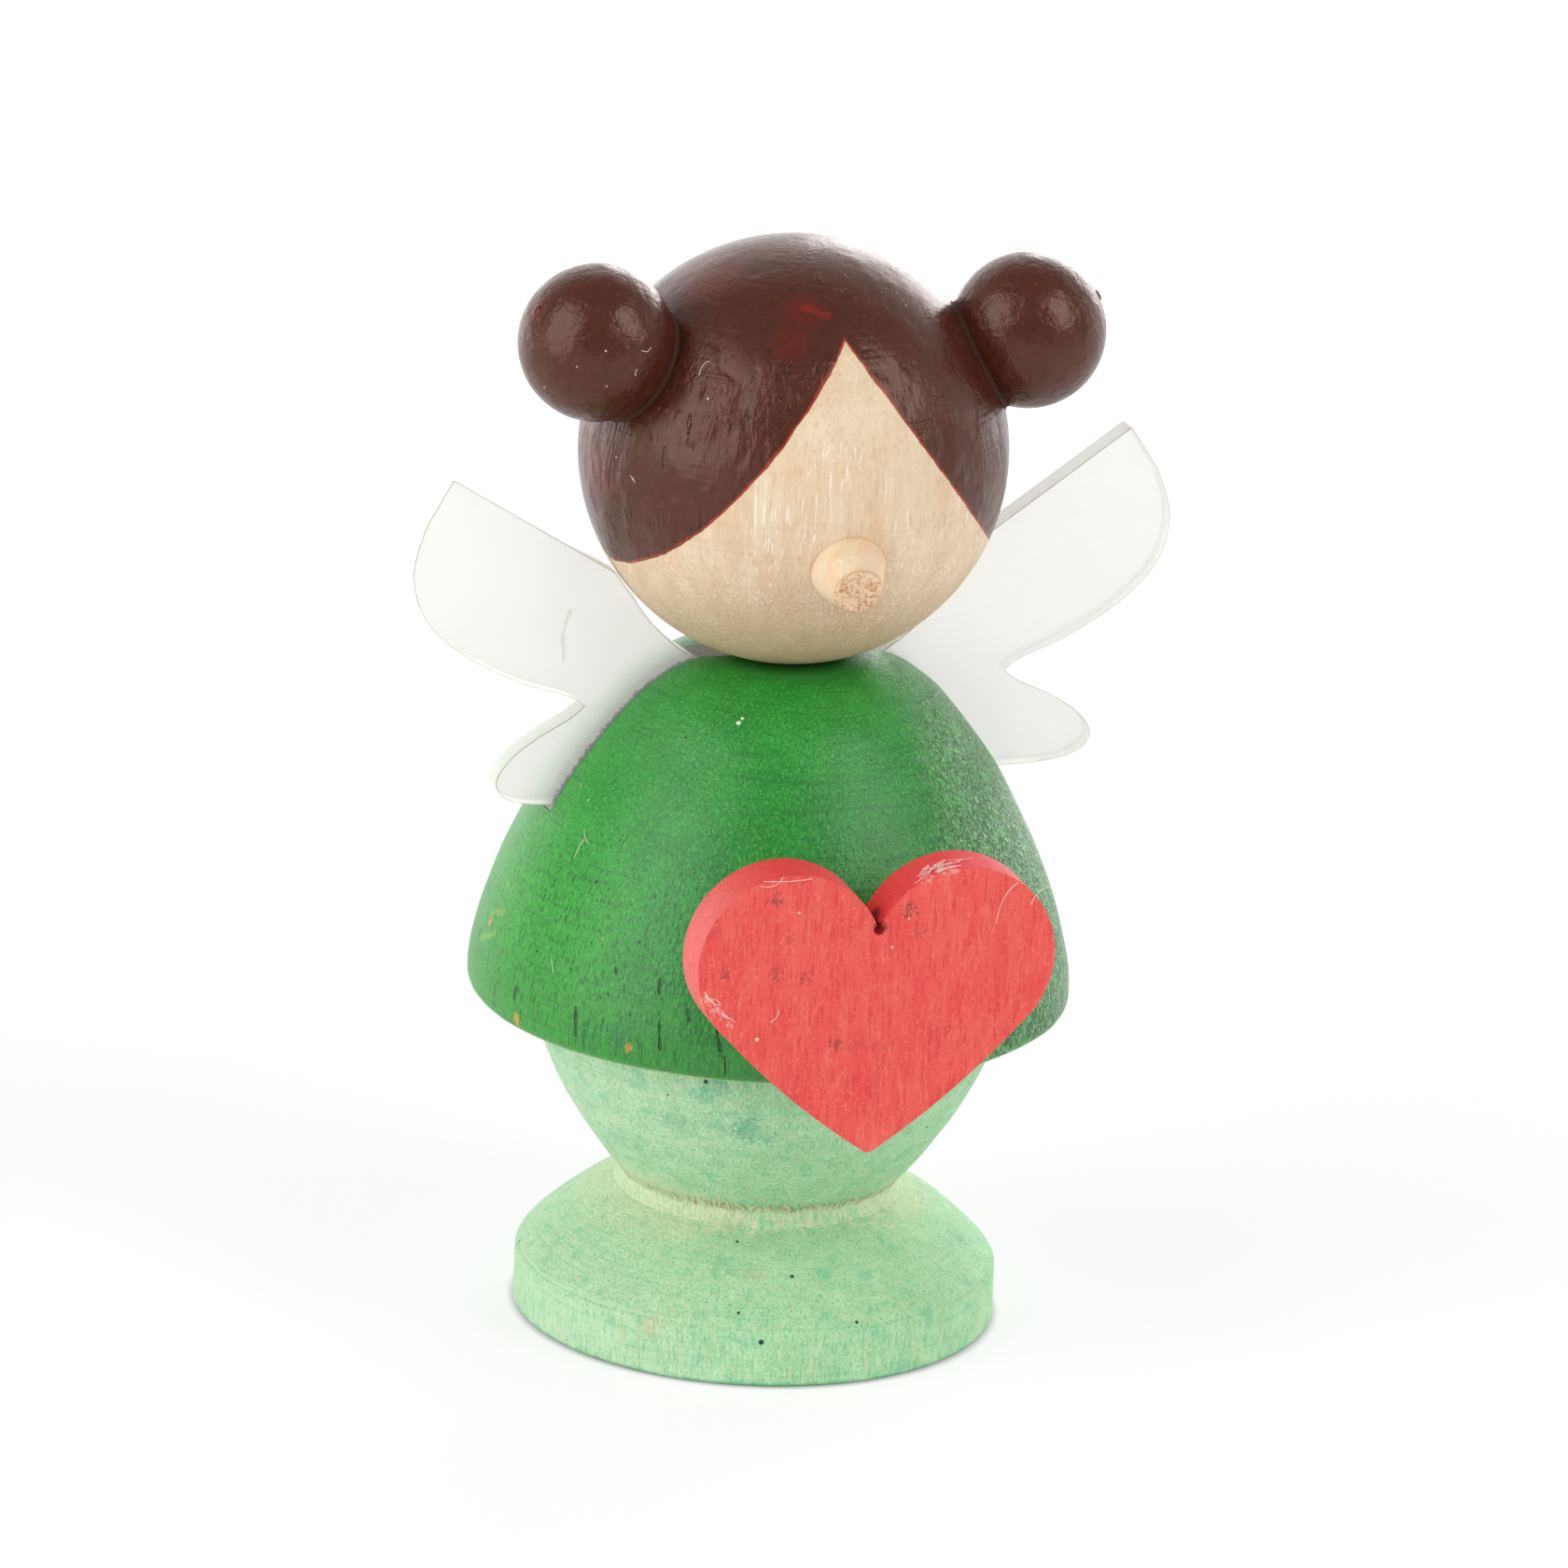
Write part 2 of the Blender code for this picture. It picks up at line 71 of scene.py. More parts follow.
def add_node(tree, kind, settings, inputs, output=0):
    """Add a node: its settings first, then the values or links of its sockets."""
    made = tree.nodes.new(kind)
    for name, value in settings.items():
        setattr(made, name, value)
    for name, value in inputs.items():
        if isinstance(value, Socket):
            tree.links.new(value.source, made.inputs[name])
        else:
            made.inputs[name].default_value = value
    return Socket(made.outputs[output])


class Socket:
    """A node's output. Arithmetic on it adds the Math nodes that it stands for."""

    def __init__(self, source):
        self.source = source

    def maths(self, operation, *values):
        tree = self.source.id_data
        return add_node(tree, "ShaderNodeMath", {"operation": operation}, dict(enumerate(values)))

    def above(self, low, high):
        """A soft step from 0 at the low value to 1 at the high one."""
        tree = self.source.id_data
        inputs = {"Value": self, "From Min": low, "From Max": high}
        return add_node(tree, "ShaderNodeMapRange", {"interpolation_type": "SMOOTHSTEP"}, inputs)

    def below(self, low, high):
        """A soft step from 1 at the low value to 0 at the high one."""
        return 1 - self.above(low, high)

    def __add__(self, other):
        return self.maths("ADD", self, other)

    def __sub__(self, other):
        return self.maths("SUBTRACT", self, other)

    def __rsub__(self, other):
        return self.maths("SUBTRACT", other, self)

    def __mul__(self, other):
        return self.maths("MULTIPLY", self, other)

    def __truediv__(self, other):
        return self.maths("DIVIDE", self, other)

    def __pow__(self, other):
        return self.maths("POWER", self, other)

    def __abs__(self):
        return self.maths("ABSOLUTE", self)

    __radd__ = __add__
    __rmul__ = __mul__


def split(tree, vector):
    """The three parts of a vector."""
    parts = add_node(tree, "ShaderNodeSeparateXYZ", {}, {0: vector}).source.node.outputs
    return [Socket(part) for part in parts]


def most(shares):
    """The highest of several shares."""
    highest, *rest = shares
    for share in rest:
        highest = highest.maths("MAXIMUM", highest, share)
    return highest


def dye(red, green, blue):
    """A colour given as seen on a screen, from 0 to 255, as the linear values of a shader."""
    shares = [value / 255 for value in (red, green, blue)]
    return (*[s / 12.92 if s <= 0.04045 else ((s + 0.055) / 1.055) ** 2.4 for s in shares], 1.0)


class Finish:
    """The procedural finish of a piece, on the piece's own coordinates in millimetres."""

    def __init__(self, name, roughness):
        self.material = bpy.data.materials.new(name)
        self.material.use_nodes = True
        self.tree = self.material.node_tree
        self.shader = self.tree.nodes["Principled BSDF"]
        self.fix({"Roughness": roughness})
        metres = self.node("ShaderNodeTexCoord", {}, {}, "Object")
        self.place = self.vectors("SCALE", {0: metres, "Scale": 1 / MM})
        self.x, self.y, self.z = split(self.tree, self.place)

    def fix(self, constants):
        """Give inputs of the shader values that stay the same all over the piece."""
        for name, value in constants.items():
            self.shader.inputs[name].default_value = value

    def node(self, kind, settings, inputs, output=0):
        return add_node(self.tree, kind, settings, inputs, output)

    def vectors(self, operation, inputs, output="Vector"):
        """The result of a sum on vectors."""
        return self.node("ShaderNodeVectorMath", {"operation": operation}, inputs, output)

    def noise(self, fineness, detail=2.0, seed=0.0, distortion=0.0):
        """Noise from 0 to 1, with so many features to the millimetre along each axis."""
        scaled = self.vectors("MULTIPLY_ADD", {0: self.place, 1: fineness, 2: (seed, seed, seed)})
        inputs = {"Vector": scaled, "Scale": 1.0, "Detail": detail, "Distortion": distortion}
        return self.node("ShaderNodeTexNoise", {}, inputs)

    def tool_marks(self, fineness, seed=0.0, detail=2.0, turns=1.2):
        """Noise that runs round the turning axis, with so many fine rings to the millimetre."""
        radius = (self.x ** 2 + self.y ** 2) ** 0.5
        reach = radius.maths("MAXIMUM", radius, 0.01)
        inputs = {0: self.x / reach * turns, 1: self.y / reach * turns, 2: self.z * fineness + seed}
        across = self.node("ShaderNodeCombineXYZ", {}, inputs)
        inputs = {"Vector": across, "W": radius * fineness, "Scale": 1.0, "Detail": detail}
        return self.node("ShaderNodeTexNoise", {"noise_dimensions": "4D"}, inputs)

    def blend(self, share, first, second):
        """One colour, giving way to another by a share from 0 to 1."""
        settings = {"data_type": "RGBA", "clamp_factor": True}
        return self.node("ShaderNodeMix", settings, {0: share, 6: first, 7: second}, 2)

    def along(self, direction):
        """The distance along a direction, in millimetres."""
        return self.vectors("DOT_PRODUCT", {0: self.place, 1: direction}, "Value")

    def away_from(self, place):
        """The distance from a place, both in millimetres."""
        return self.vectors("DISTANCE", {0: self.place, 1: place}, "Value")

    def spots(self, marks, ragged=0.0):
        """Marks, each at a place in millimetres with a radius. They fade out over their outer half."""
        rough = (self.noise((4.0, 4.0, 4.0), detail=2.0, seed=41.0) - 0.5) * ragged
        return most([(self.away_from(place) + rough).below(radius * 0.5, radius) for place, radius in marks])

    def line(self, start, end, width, wobble=0.0):
        """A soft line between two places in millimetres."""
        run = Vector(end) - Vector(start)
        away = self.vectors("SUBTRACT", {0: self.place, 1: start})
        share = self.vectors("DOT_PRODUCT", {0: away, 1: run}, "Value")
        share = self.node("ShaderNodeClamp", {}, {0: share / run.length_squared})
        nearest = self.vectors("SCALE", {0: run, "Scale": share})
        gap = self.vectors("DISTANCE", {0: away, 1: nearest}, "Value")
        ragged = (self.noise((1.5, 1.5, 1.5), detail=3.0, seed=43.0) - 0.5) * wobble
        return abs(gap + ragged).below(width * 0.4, width)

    def strokes(self, marks, width, wobble):
        """Soft lines of one width, each between two places in millimetres."""
        return most([self.line(start, end, width, wobble) for start, end in marks])

    def over(self, share, colour, tint):
        """A colour with a share of a tint over it."""
        return self.blend(share, colour, dye(*tint))

    def layers(self, colour, coats):
        """A colour with coats over it, from the lowest up, each a share from 0 to 1 and a tint."""
        for share, tint in coats:
            colour = self.over(share, colour, tint)
        return colour

    def facing(self):
        """How much the surface faces forwards or backwards, from 0 to 1."""
        normal = self.node("ShaderNodeNewGeometry", {}, {}, "Normal")
        return abs(split(self.tree, normal)[1])

    def wear(self, colour, roughness=None, relief=None, depth=0.05):
        """Give the surface its colour, roughness and relief, with the relief's depth in millimetres."""
        self.tree.links.new(colour.source, self.shader.inputs["Base Color"])
        if roughness is not None:
            self.tree.links.new(roughness.source, self.shader.inputs["Roughness"])
        if relief is not None:
            inputs = {"Height": relief, "Strength": 1.0, "Distance": depth * MM}
            bump = self.node("ShaderNodeBump", {}, inputs)
            self.tree.links.new(bump.source, self.shader.inputs["Normal"])


def between(shares, low, high):
    """Outline points at shares of the way from one pair of radius and height to another."""
    return [tuple(a + (b - a) * share for a, b, share in zip(low, high, pair)) for pair in shares]


def smooth_line(points, steps=8):
    """Points on a Catmull-Rom curve through the given outline points."""
    ends = [points[0], *points, points[-1]]
    line = []
    for before, start, end, after in zip(ends, ends[1:], ends[2:], ends[3:]):
        for step in range(steps):
            t = step / steps
            weights = ((-t + 2 * t ** 2 - t ** 3) / 2, (2 - 5 * t ** 2 + 3 * t ** 3) / 2,
                       (t + 4 * t ** 2 - 3 * t ** 3) / 2, (t ** 3 - t ** 2) / 2)
            corners = zip(before, start, end, after)
            line.append(tuple(sum(w * value for w, value in zip(weights, values)) for values in corners))
    return line + [points[-1]]


def arc(centre, radius, start, end, steps):
    """Points along a circular arc, with angles in radians from the first axis."""
    angles = [start + (end - start) * step / steps for step in range(steps + 1)]
    return [(centre[0] + radius * math.cos(a), centre[1] + radius * math.sin(a)) for a in angles]


def straight(start, end, steps):
    """Points on a straight run, without its last point."""
    return [tuple(a + (b - a) * step / steps for a, b in zip(start, end)) for step in range(steps)]


def begin_tree(title, inputs):
    """A Geometry Nodes tree with named inputs, and the sockets that give their values."""
    tree = bpy.data.node_groups.new(title, "GeometryNodeTree")
    for name, kind in inputs:
        tree.interface.new_socket(name, in_out="INPUT", socket_type="NodeSocket" + kind)
    tree.interface.new_socket("Piece", in_out="OUTPUT", socket_type="NodeSocketGeometry")
    return tree, {socket.name: Socket(socket) for socket in tree.nodes.new("NodeGroupInput").outputs}


def end_tree(tree, shape, material):
    """Make the shape real, give it its material and let it out of the tree."""
    real = add_node(tree, "GeometryNodeRealizeInstances", {}, {0: shape})
    done = add_node(tree, "GeometryNodeSetMaterial", {}, {"Geometry": real, "Material": material})
    tree.links.new(done.source, tree.nodes.new("NodeGroupOutput").inputs[0])
    return tree


def turning_tree():
    """Turns a profile of radius along X and height along Z into a slightly uneven closed piece."""
    inputs = (("Profile", "Geometry"), ("Steps", "Int"), ("Unevenness", "Float"), ("Fineness", "Float"),
              ("Finish", "Material"))
    tree, given = begin_tree("turning", inputs)
    rows = add_node(tree, "GeometryNodeAttributeDomainSize", {"component": "MESH"}, {0: given["Profile"]})
    columns = given["Steps"] + 1
    grid = add_node(tree, "GeometryNodeMeshGrid", {}, {0: 1.0, 1: 1.0, 2: columns, 3: rows})
    spot = add_node(tree, "GeometryNodeInputPosition", {}, {})
    across, along, _ = split(tree, spot)
    angle = (across + 0.5) * (2 * math.pi)
    row = (along + 0.5) * (rows - 1)
    row = row.maths("ROUND", row)
    settings = {"data_type": "FLOAT_VECTOR", "domain": "POINT"}
    point = add_node(tree, "GeometryNodeSampleIndex", settings,
                     {"Geometry": given["Profile"], "Value": spot, "Index": row})
    radius, _, height = split(tree, point)
    inputs = {0: radius * angle.maths("COSINE", angle), 1: radius * angle.maths("SINE", angle), 2: height}
    turned_to = add_node(tree, "ShaderNodeCombineXYZ", {}, inputs)
    turned = add_node(tree, "GeometryNodeSetPosition", {}, {"Geometry": grid, "Position": turned_to})
    inputs = {"Geometry": turned, "Distance": WELD_DISTANCE}
    closed = add_node(tree, "GeometryNodeMergeByDistance", {}, inputs)
    inputs = {0: spot, "Scale": given["Fineness"]}
    fine = add_node(tree, "ShaderNodeVectorMath", {"operation": "SCALE"}, inputs, "Vector")
    bump = add_node(tree, "ShaderNodeTexNoise", {}, {"Vector": fine, "Scale": 1.0, "Detail": 1.0})
    normal = add_node(tree, "GeometryNodeInputNormal", {}, {})
    lift = add_node(tree, "ShaderNodeVectorMath", {"operation": "SCALE"},
                    {0: normal, "Scale": (bump - 0.5) * given["Unevenness"]}, "Vector")
    uneven = add_node(tree, "GeometryNodeSetPosition", {}, {"Geometry": closed, "Offset": lift})
    return end_tree(tree, uneven, given["Finish"])


def run_tree(item, tree, values):
    """Run a Geometry Nodes tree on an object and keep the result as its plain mesh."""
    modifier = item.modifiers.new(tree.name, "NODES")
    modifier.node_group = tree
    for socket in tree.interface.items_tree:
        if socket.name in values:
            modifier[socket.identifier] = values[socket.name]
    keep_shape(item)


def keep_shape(item):
    """Make an object's modifiers part of its mesh."""
    bpy.context.view_layer.update()
    mesh = bpy.data.meshes.new_from_object(item.evaluated_get(bpy.context.evaluated_depsgraph_get()))
    item.modifiers.clear()
    item.data = mesh


def add_piece(name, mesh):
    """Put a mesh into the scene as a named piece."""
    item = bpy.data.objects.new(name, mesh)
    bpy.context.scene.collection.objects.link(item)
    return item


turning = turning_tree()


def turn(name, profile, finish, steps=192, unevenness=0.02 * MM, fineness=0.25 / MM, place=Matrix()):
    """Turn a profile of radius and height round Z and put the piece in its place."""
    mesh = bpy.data.meshes.new(name)
    mesh.from_pydata([(radius, 0.0, height) for radius, height in profile],
                     [(i, i + 1) for i in range(len(profile) - 1)], [])
    item = add_piece(name, mesh)
    run_tree(item, turning, {"Steps": steps, "Unevenness": unevenness, "Fineness": fineness,
                             "Finish": finish.material})
    face_outwards(item)
    item.data.transform(place)
    return item


def face_outwards(item, sharp_angle=35.0):
    """Point every face outwards and shade the piece smooth, with its real corners kept sharp."""
    shape = bmesh.new()
    shape.from_mesh(item.data)
    bmesh.ops.recalc_face_normals(shape, faces=shape.faces)
    shape.to_mesh(item.data)
    shape.free()
    item.data.shade_smooth()
    item.data.set_sharp_from_angle(angle=math.radians(sharp_angle))


def hand_over(item, node):
    """Let a finished piece stand for its CAD node and ride on the figure."""
    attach(item, "root")
    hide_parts(node)


def mint_stain():
    """Thin mint stain on fuzzy wood, with teal drops, bare streaks and a bare cream ring in the waist."""
    finish = Finish("mint_stain", 0.6)
    finish.fix({"Specular IOR Level": 0.3})
    fibre = finish.noise((7.5, 7.5, 1.2), detail=3.0)
    fuzz = finish.noise((9.0, 9.0, 6.0), detail=4.0, seed=28.0)
    marks = finish.tool_marks(5.5, detail=4.0, turns=2.5)
    patch = finish.noise((0.9, 0.9, 0.6), detail=7.0, seed=3.0)
    colour = finish.blend(patch.above(0.34, 0.66), dye(158, 212, 160), dye(176, 225, 175))
    # Painted sheen: the lower part, round the crown, is painted paler, as if raised fibres there catch the
    # light.
    low = (finish.z + patch * 3.0).below(6.0, 12.0)
    # Painted light: the left side is painted paler, as if lit by the soft box on the left; the stain is no
    # thinner there.
    thin = (finish.x * -1.0 + patch * 4.0).above(4.0, 13.0)
    streak = finish.noise((3.4, 3.4, 0.16), detail=3.0, seed=7.0)
    bare = streak.above(0.52, 0.64) * fibre.above(0.38, 0.6)
    teal = finish.noise((1.0, 1.0, 0.9), detail=8.0, seed=11.0).above(0.54, 0.7)
    drops = finish.spots(TEAL_DROPS, ragged=2.6) * (patch + fuzz * 0.6).above(0.6, 0.95)
    ragged = (finish.noise((2.2, 2.2, 0.8), detail=6.0, seed=5.0) - 0.5) * 3.6
    wide = abs(finish.x).above(2.5, 7.5) * 1.5 + 0.75
    cream = (abs(finish.z - waist_height / MM + ragged) / wide).below(0.2, 1.0)
    cream = cream * ((fuzz + fibre).above(0.8, 1.15) * 0.4 + 0.35)
    turn_angle = finish.y.maths("ARCTAN2", finish.y, finish.x)
    ridges = turn_angle * CHATTER_RIDGES + patch * 40.0
    waist = abs(finish.z - (waist_height + WAIST_FILLET) / MM + ragged * 0.15).below(0.05, 0.5)
    chatter = ridges.maths("SINE", ridges).above(-0.2, 0.9) * waist
    stood = (finish.z + patch * 0.6).below(0.35, 0.65)
    colour = finish.layers(colour, (
        (low * 0.25, (184, 232, 182)),
        (thin * 0.35, (216, 236, 206)),
        (marks.above(0.5, 0.66) * 0.35, (122, 204, 150)),
        (fibre.below(0.36, 0.43) * 0.45, (112, 184, 126)),
        (fibre.above(0.58, 0.65) * 0.45, (216, 242, 204)),
        (fuzz.above(0.57, 0.65) * 0.4, (224, 242, 212)),
        (fuzz.below(0.34, 0.41) * 0.45, (98, 176, 124)),
        (bare * 0.45, (214, 210, 164)),
        (teal * 0.4, (92, 194, 152)),
        (drops * 0.6, (66, 170, 138)),
        (finish.spots(PINK_PATCHES, ragged=1.8) * 0.25, (218, 184, 152)),
        (cream, (228, 232, 190)),
        (chatter * patch.above(0.36, 0.54) * 0.8, (182, 140, 92)),
        (stood * 0.6, (70, 186, 132)),
        (finish.spots(MINT_SPECKS), (16, 56, 50))))
    relief = fibre * 0.6 + fuzz * 0.5 + marks * 0.4 + chatter * 0.3
    finish.wear(colour, roughness=fibre * 0.3 + 0.4, relief=relief, depth=0.2)
    return finish


def lower_body_profile():
    """The outline from the tenon down to the foot, with a small round in the waist and on the foot."""
    tenon_top = bulb_top + TENON_LENGTH
    bulb = between(BULB_OUTLINE, (WAIST_RADIUS, waist_height), (BULB_RADIUS, bulb_top))
    crown = between(CROWN_OUTLINE, (WAIST_RADIUS, FOOT_SIDE_HEIGHT), (FOOT_RADIUS, waist_height))
    profile = [(0.0, tenon_top), (TENON_RADIUS, tenon_top), (TENON_RADIUS, bulb_top)]
    waist = (WAIST_RADIUS + WAIST_FILLET * 0.45, waist_height + WAIST_FILLET * 0.3)
    profile += smooth_line([(BULB_RADIUS, bulb_top), *bulb, waist, crown[0]])
    shoulder = (FOOT_RADIUS - FOOT_SHOULDER, FOOT_SIDE_HEIGHT - FOOT_SHOULDER)
    profile += smooth_line([*crown, (FOOT_RADIUS - FOOT_SHOULDER * 0.6, FOOT_SIDE_HEIGHT)])[1:-1]
    profile += arc(shoulder, FOOT_SHOULDER, math.radians(65), 0.0, 6)
    profile += straight(profile[-1], (FOOT_RADIUS, FOOT_EDGE), 10)[1:]
    profile += arc((FOOT_RADIUS - FOOT_EDGE, FOOT_EDGE), FOOT_EDGE, 0.0, -math.pi / 2, 5)
    return profile + [(0.0, 0.0)]


lower_body = turn("foot_and_lower_body", lower_body_profile(), mint_stain(), unevenness=0.12 * MM)
hand_over(lower_body, "lower_body")

# Dress: a solid dome of the same wood, turned with a dished seat for the head and stained green. One saw
# kerf runs across the top for the wings, and the edge of the hem has a small round.
DRESS_RADIUS = 16.32 * MM
DRESS_HEIGHT = 19.2 * MM
DRESS_BAND = 0.7 * MM
HEM_ROUND = 0.6 * MM
NECK_RADIUS = 5.0 * MM
NECK_SEAT_DEPTH = 0.65 * MM
KERF_DEPTH = 8.3 * MM
WING_THICKNESS = 1.5 * MM
KERF_HALF = WING_THICKNESS / 2 + 0.2 * MM
KERF_REACH = 20 * MM
HEAD_TOUCH = 0.02 * MM
HEAD_RADIUS = 11.5 * MM
DRESS_OUTLINE = ((0.088, 0.98), (0.186, 0.944), (0.314, 0.88), (0.446, 0.782), (0.583, 0.665), (0.707, 0.531),
                 (0.835, 0.363), (0.932, 0.196), (0.985, 0.067))
DRESS_CRACKS = (((-13.33, -9.09, 20.8), (-13.35, -9.38, 19.3)), ((-9.66, -12.1, 23.2), (-9.76, -13.05, 19.6)),
                ((-15.5, -4.8, 20.6), (-15.5, -4.8, 19.3)), ((-7.2, -14.04, 22.1), (-6.93, -14.7, 20.0)),
                ((-10.4, -10.6, 26.8), (-9.4, -11.9, 24.8)), ((9.5, 12.6, 23.0), (9.7, 13.0, 19.9)))
ORANGE_DROPS = (((-15.46, -5.22, 18.92), 0.4), ((-11.17, -11.89, 19.42), 0.32), ((-15.6, 0.2, 22.6), 0.35))
BLUE_DROPS = (((-11.6, -11.4, 19.9), 0.9), ((-12.6, -9.9, 19.6), 0.5), ((12.5, 10.2, 20.4), 0.8))
DRESS_SPECKS = (((-11.91, -7.21, 27.1), 0.15), ((-7.0, -5.93, 34.5), 0.12), ((-10.44, -10.63, 24.8), 0.12),
                ((-9.3, -4.0, 33.0), 0.12), ((6.0, -9.9, 31.4), 0.1), ((-3.0, -11.2, 31.5), 0.1))
FLAME_MARKS = (((-15.3, -1.2, 23.6), (-15.6, 0.6, 23.0)), ((-15.7, -1.0, 22.3), (-15.9, 0.9, 21.4)),
               ((-15.0, -2.0, 25.3), (-15.1, -0.3, 24.9)), ((-11.9, -8.9, 24.4), (-11.5, -9.3, 23.6)))
PALE_LINT = (((-4.45, -6.94, 35.5), 0.17), ((-4.2, -6.8, 35.7), 0.1), ((-4.7, -7.6, 34.7), 0.1),
             ((-11.55, -3.7, 30.5), 0.1), ((-3.9, -8.9, 33.2), 0.08))
hem_height = bulb_top + FIT_GAP
widest_ring = hem_height + HEM_ROUND + DRESS_BAND
dress_top = hem_height + DRESS_HEIGHT
kerf_floor = dress_top - KERF_DEPTH
head_centre = Vector((0.0, 0.0, dress_top - NECK_SEAT_DEPTH + FIT_GAP + HEAD_RADIUS))


def green_stain():
    """Deep green stain with dark fibres and cracks, orange and blue drops, raised grain on the right, and
    painted light and shade.
    """
    finish = Finish("green_stain", 0.35)
    fibre = finish.noise((7.5, 7.5, 1.5), detail=3.0, seed=2.0)
    fuzz = finish.noise((10.0, 10.0, 7.0), detail=3.0, seed=29.0)
    lines = finish.noise((5.5, 5.5, 0.3), detail=3.0, seed=26.0)
    marks = finish.tool_marks(5.0, seed=1.0, detail=4.0, turns=3.0)
    patch = finish.noise((0.5, 0.5, 0.35), detail=7.0, seed=9.0)
    upright = finish.z.below(25.0, 33.0)
    colour = finish.blend(patch.above(0.34, 0.66), dye(22, 132, 40), dye(32, 144, 46))
    # Painted light: the left side is painted a lighter yellow-green, as if lit by the soft box on the left.
    left = (finish.x * -1.0 + patch * 1.5).above(8.0, 16.5)
    low = (finish.z + patch * 3.0).below(20.0, 27.0)
    cracks = finish.noise((4.0, 4.0, 0.28), detail=2.0, seed=17.0).above(0.69, 0.73) * upright
    cracks = most([cracks, finish.strokes(DRESS_CRACKS, 0.09, wobble=0.25)])
    flames = finish.strokes(FLAME_MARKS, 0.25, wobble=0.9)
    hem = (finish.z + fibre * 0.3).below(hem_height / MM + 0.15, hem_height / MM + 0.4)
    raised = (finish.x + patch * 3.0).above(5.0, 10.0)
    raised = raised * (finish.y + patch * 6.0).below(-5.0, 10.0)
    folds = finish.noise((1.4, 1.4, 1.1), detail=2.0, seed=19.0, distortion=1.0)
    # Creases in the raised grain: dented in the relief and darkened with painted shade.
    crease_shade = abs(folds - 0.5).below(0.0, 0.05) * raised
    # Ridges beside the creases: raised in the relief and lightened with painted glints.
    ridge_glint = folds.above(0.53, 0.56) * folds.below(0.57, 0.62) * raised
    lumps = finish.noise((2.4, 2.4, 2.8), detail=3.0, seed=30.0, distortion=0.8)
    # The walls of the saw kerf get painted shade and a rougher surface.
    inside = abs(finish.y).below(KERF_HALF / MM - 0.02, KERF_HALF / MM + 0.06)
    inside = inside * finish.z.above(kerf_floor / MM - 0.1, kerf_floor / MM)
    colour = finish.layers(colour, (
        (left * 0.55, (46, 178, 34)),
        (fibre.below(0.37, 0.44) * (upright * 0.3 + 0.35), (4, 78, 22)),
        (fibre.above(0.57, 0.65) * 0.4, (98, 184, 82)),
        (fuzz.below(0.36, 0.43) * 0.4, (4, 86, 28)),
        (fuzz.above(0.58, 0.66) * 0.3, (116, 190, 98)),
        (lines.below(0.34, 0.4) * (upright * 0.5 + 0.1), (4, 62, 18)),
        (marks.above(0.54, 0.66) * 0.35, (10, 92, 32)),
        (low * (finish.x * -1.0).above(-6.0, 4.0) * 0.3, (56, 120, 54)),
        (cracks * 0.75, (6, 50, 18)),
        (flames * 0.4, (150, 186, 70)),
        (finish.spots(ORANGE_DROPS, ragged=0.6) * 0.7, (206, 146, 60)),
        (finish.spots(BLUE_DROPS, ragged=1.6) * 0.3, (6, 84, 72)),
        (finish.spots(DRESS_SPECKS), (8, 40, 34)),
        (finish.spots(PALE_LINT, ragged=0.1), (220, 236, 214)),
        (hem * 0.6, (176, 184, 104)),
        # Painted shade in the creases, then painted glints on the raised grain and on its ridges.
        (crease_shade * 0.4, (6, 84, 30)),
        (raised * (fibre + fuzz).above(0.95, 1.2) * 0.45, (160, 208, 146)),
        (ridge_glint * fibre.above(0.45, 0.6) * 0.45, (196, 226, 184)),
        (inside * 0.9, (12, 44, 20))))
    relief = fibre * (raised * 0.2 + 0.16) + fuzz * 0.1 + lines * 0.2 + lumps * (raised * 2.0 + 0.25)
    relief = relief + marks * 0.2 + ridge_glint * 0.5 - cracks - crease_shade * 0.9
    roughness = fibre * 0.28 + 0.22 - raised * 0.1 + inside * 0.5
    finish.wear(colour, roughness=roughness, relief=relief, depth=0.13)
    return finish


def dress_profile():
    """The outline from the seat of the head down over the dome and the hem, then up the tenon's bore."""
    seat = HEAD_RADIUS + HEAD_TOUCH
    seat_depth = head_centre.z - dress_top
    outline = between(DRESS_OUTLINE, (NECK_RADIUS, widest_ring), (DRESS_RADIUS, dress_top))
    profile = arc((0.0, head_centre.z), seat, -math.pi / 2, -math.asin(seat_depth / seat), 8)
    profile += smooth_line([(NECK_RADIUS, dress_top), *outline, (DRESS_RADIUS, widest_ring)])
    edge_centre = (DRESS_RADIUS - HEM_ROUND, hem_height + HEM_ROUND)
    profile += arc(edge_centre, HEM_ROUND, 0.0, -math.pi / 2, 8)
    bore = TENON_RADIUS + FIT_GAP
    bore_top = bulb_top + TENON_LENGTH + FIT_GAP
    return profile + [(bore, hem_height), (bore, bore_top), (0.0, bore_top)]


def mesh_of(name, shape):
    """The named mesh of a shape under construction, which is freed."""
    mesh = bpy.data.meshes.new(name)
    shape.to_mesh(mesh)
    shape.free()
    return mesh


def box_mesh(name, low, high):
    """A box between two corners, to cut with."""
    shape = bmesh.new()
    middle = (Vector(high) + Vector(low)) / 2
    size = Vector(high) - Vector(low)
    bmesh.ops.create_cube(shape, size=1.0, matrix=Matrix.Translation(middle) @ Matrix.Diagonal((*size, 1.0)))
    return mesh_of(name, shape)


def rod_mesh(name, radius, length, place, steps=192):
    """A rod along Y, put in its place, to cut with."""
    shape = bmesh.new()
    across = Matrix.Rotation(math.pi / 2, 4, "X")
    bmesh.ops.create_cone(shape, cap_ends=True, segments=steps, radius1=radius, radius2=radius,
                          depth=length, matrix=place @ across)
    return mesh_of(name, shape)


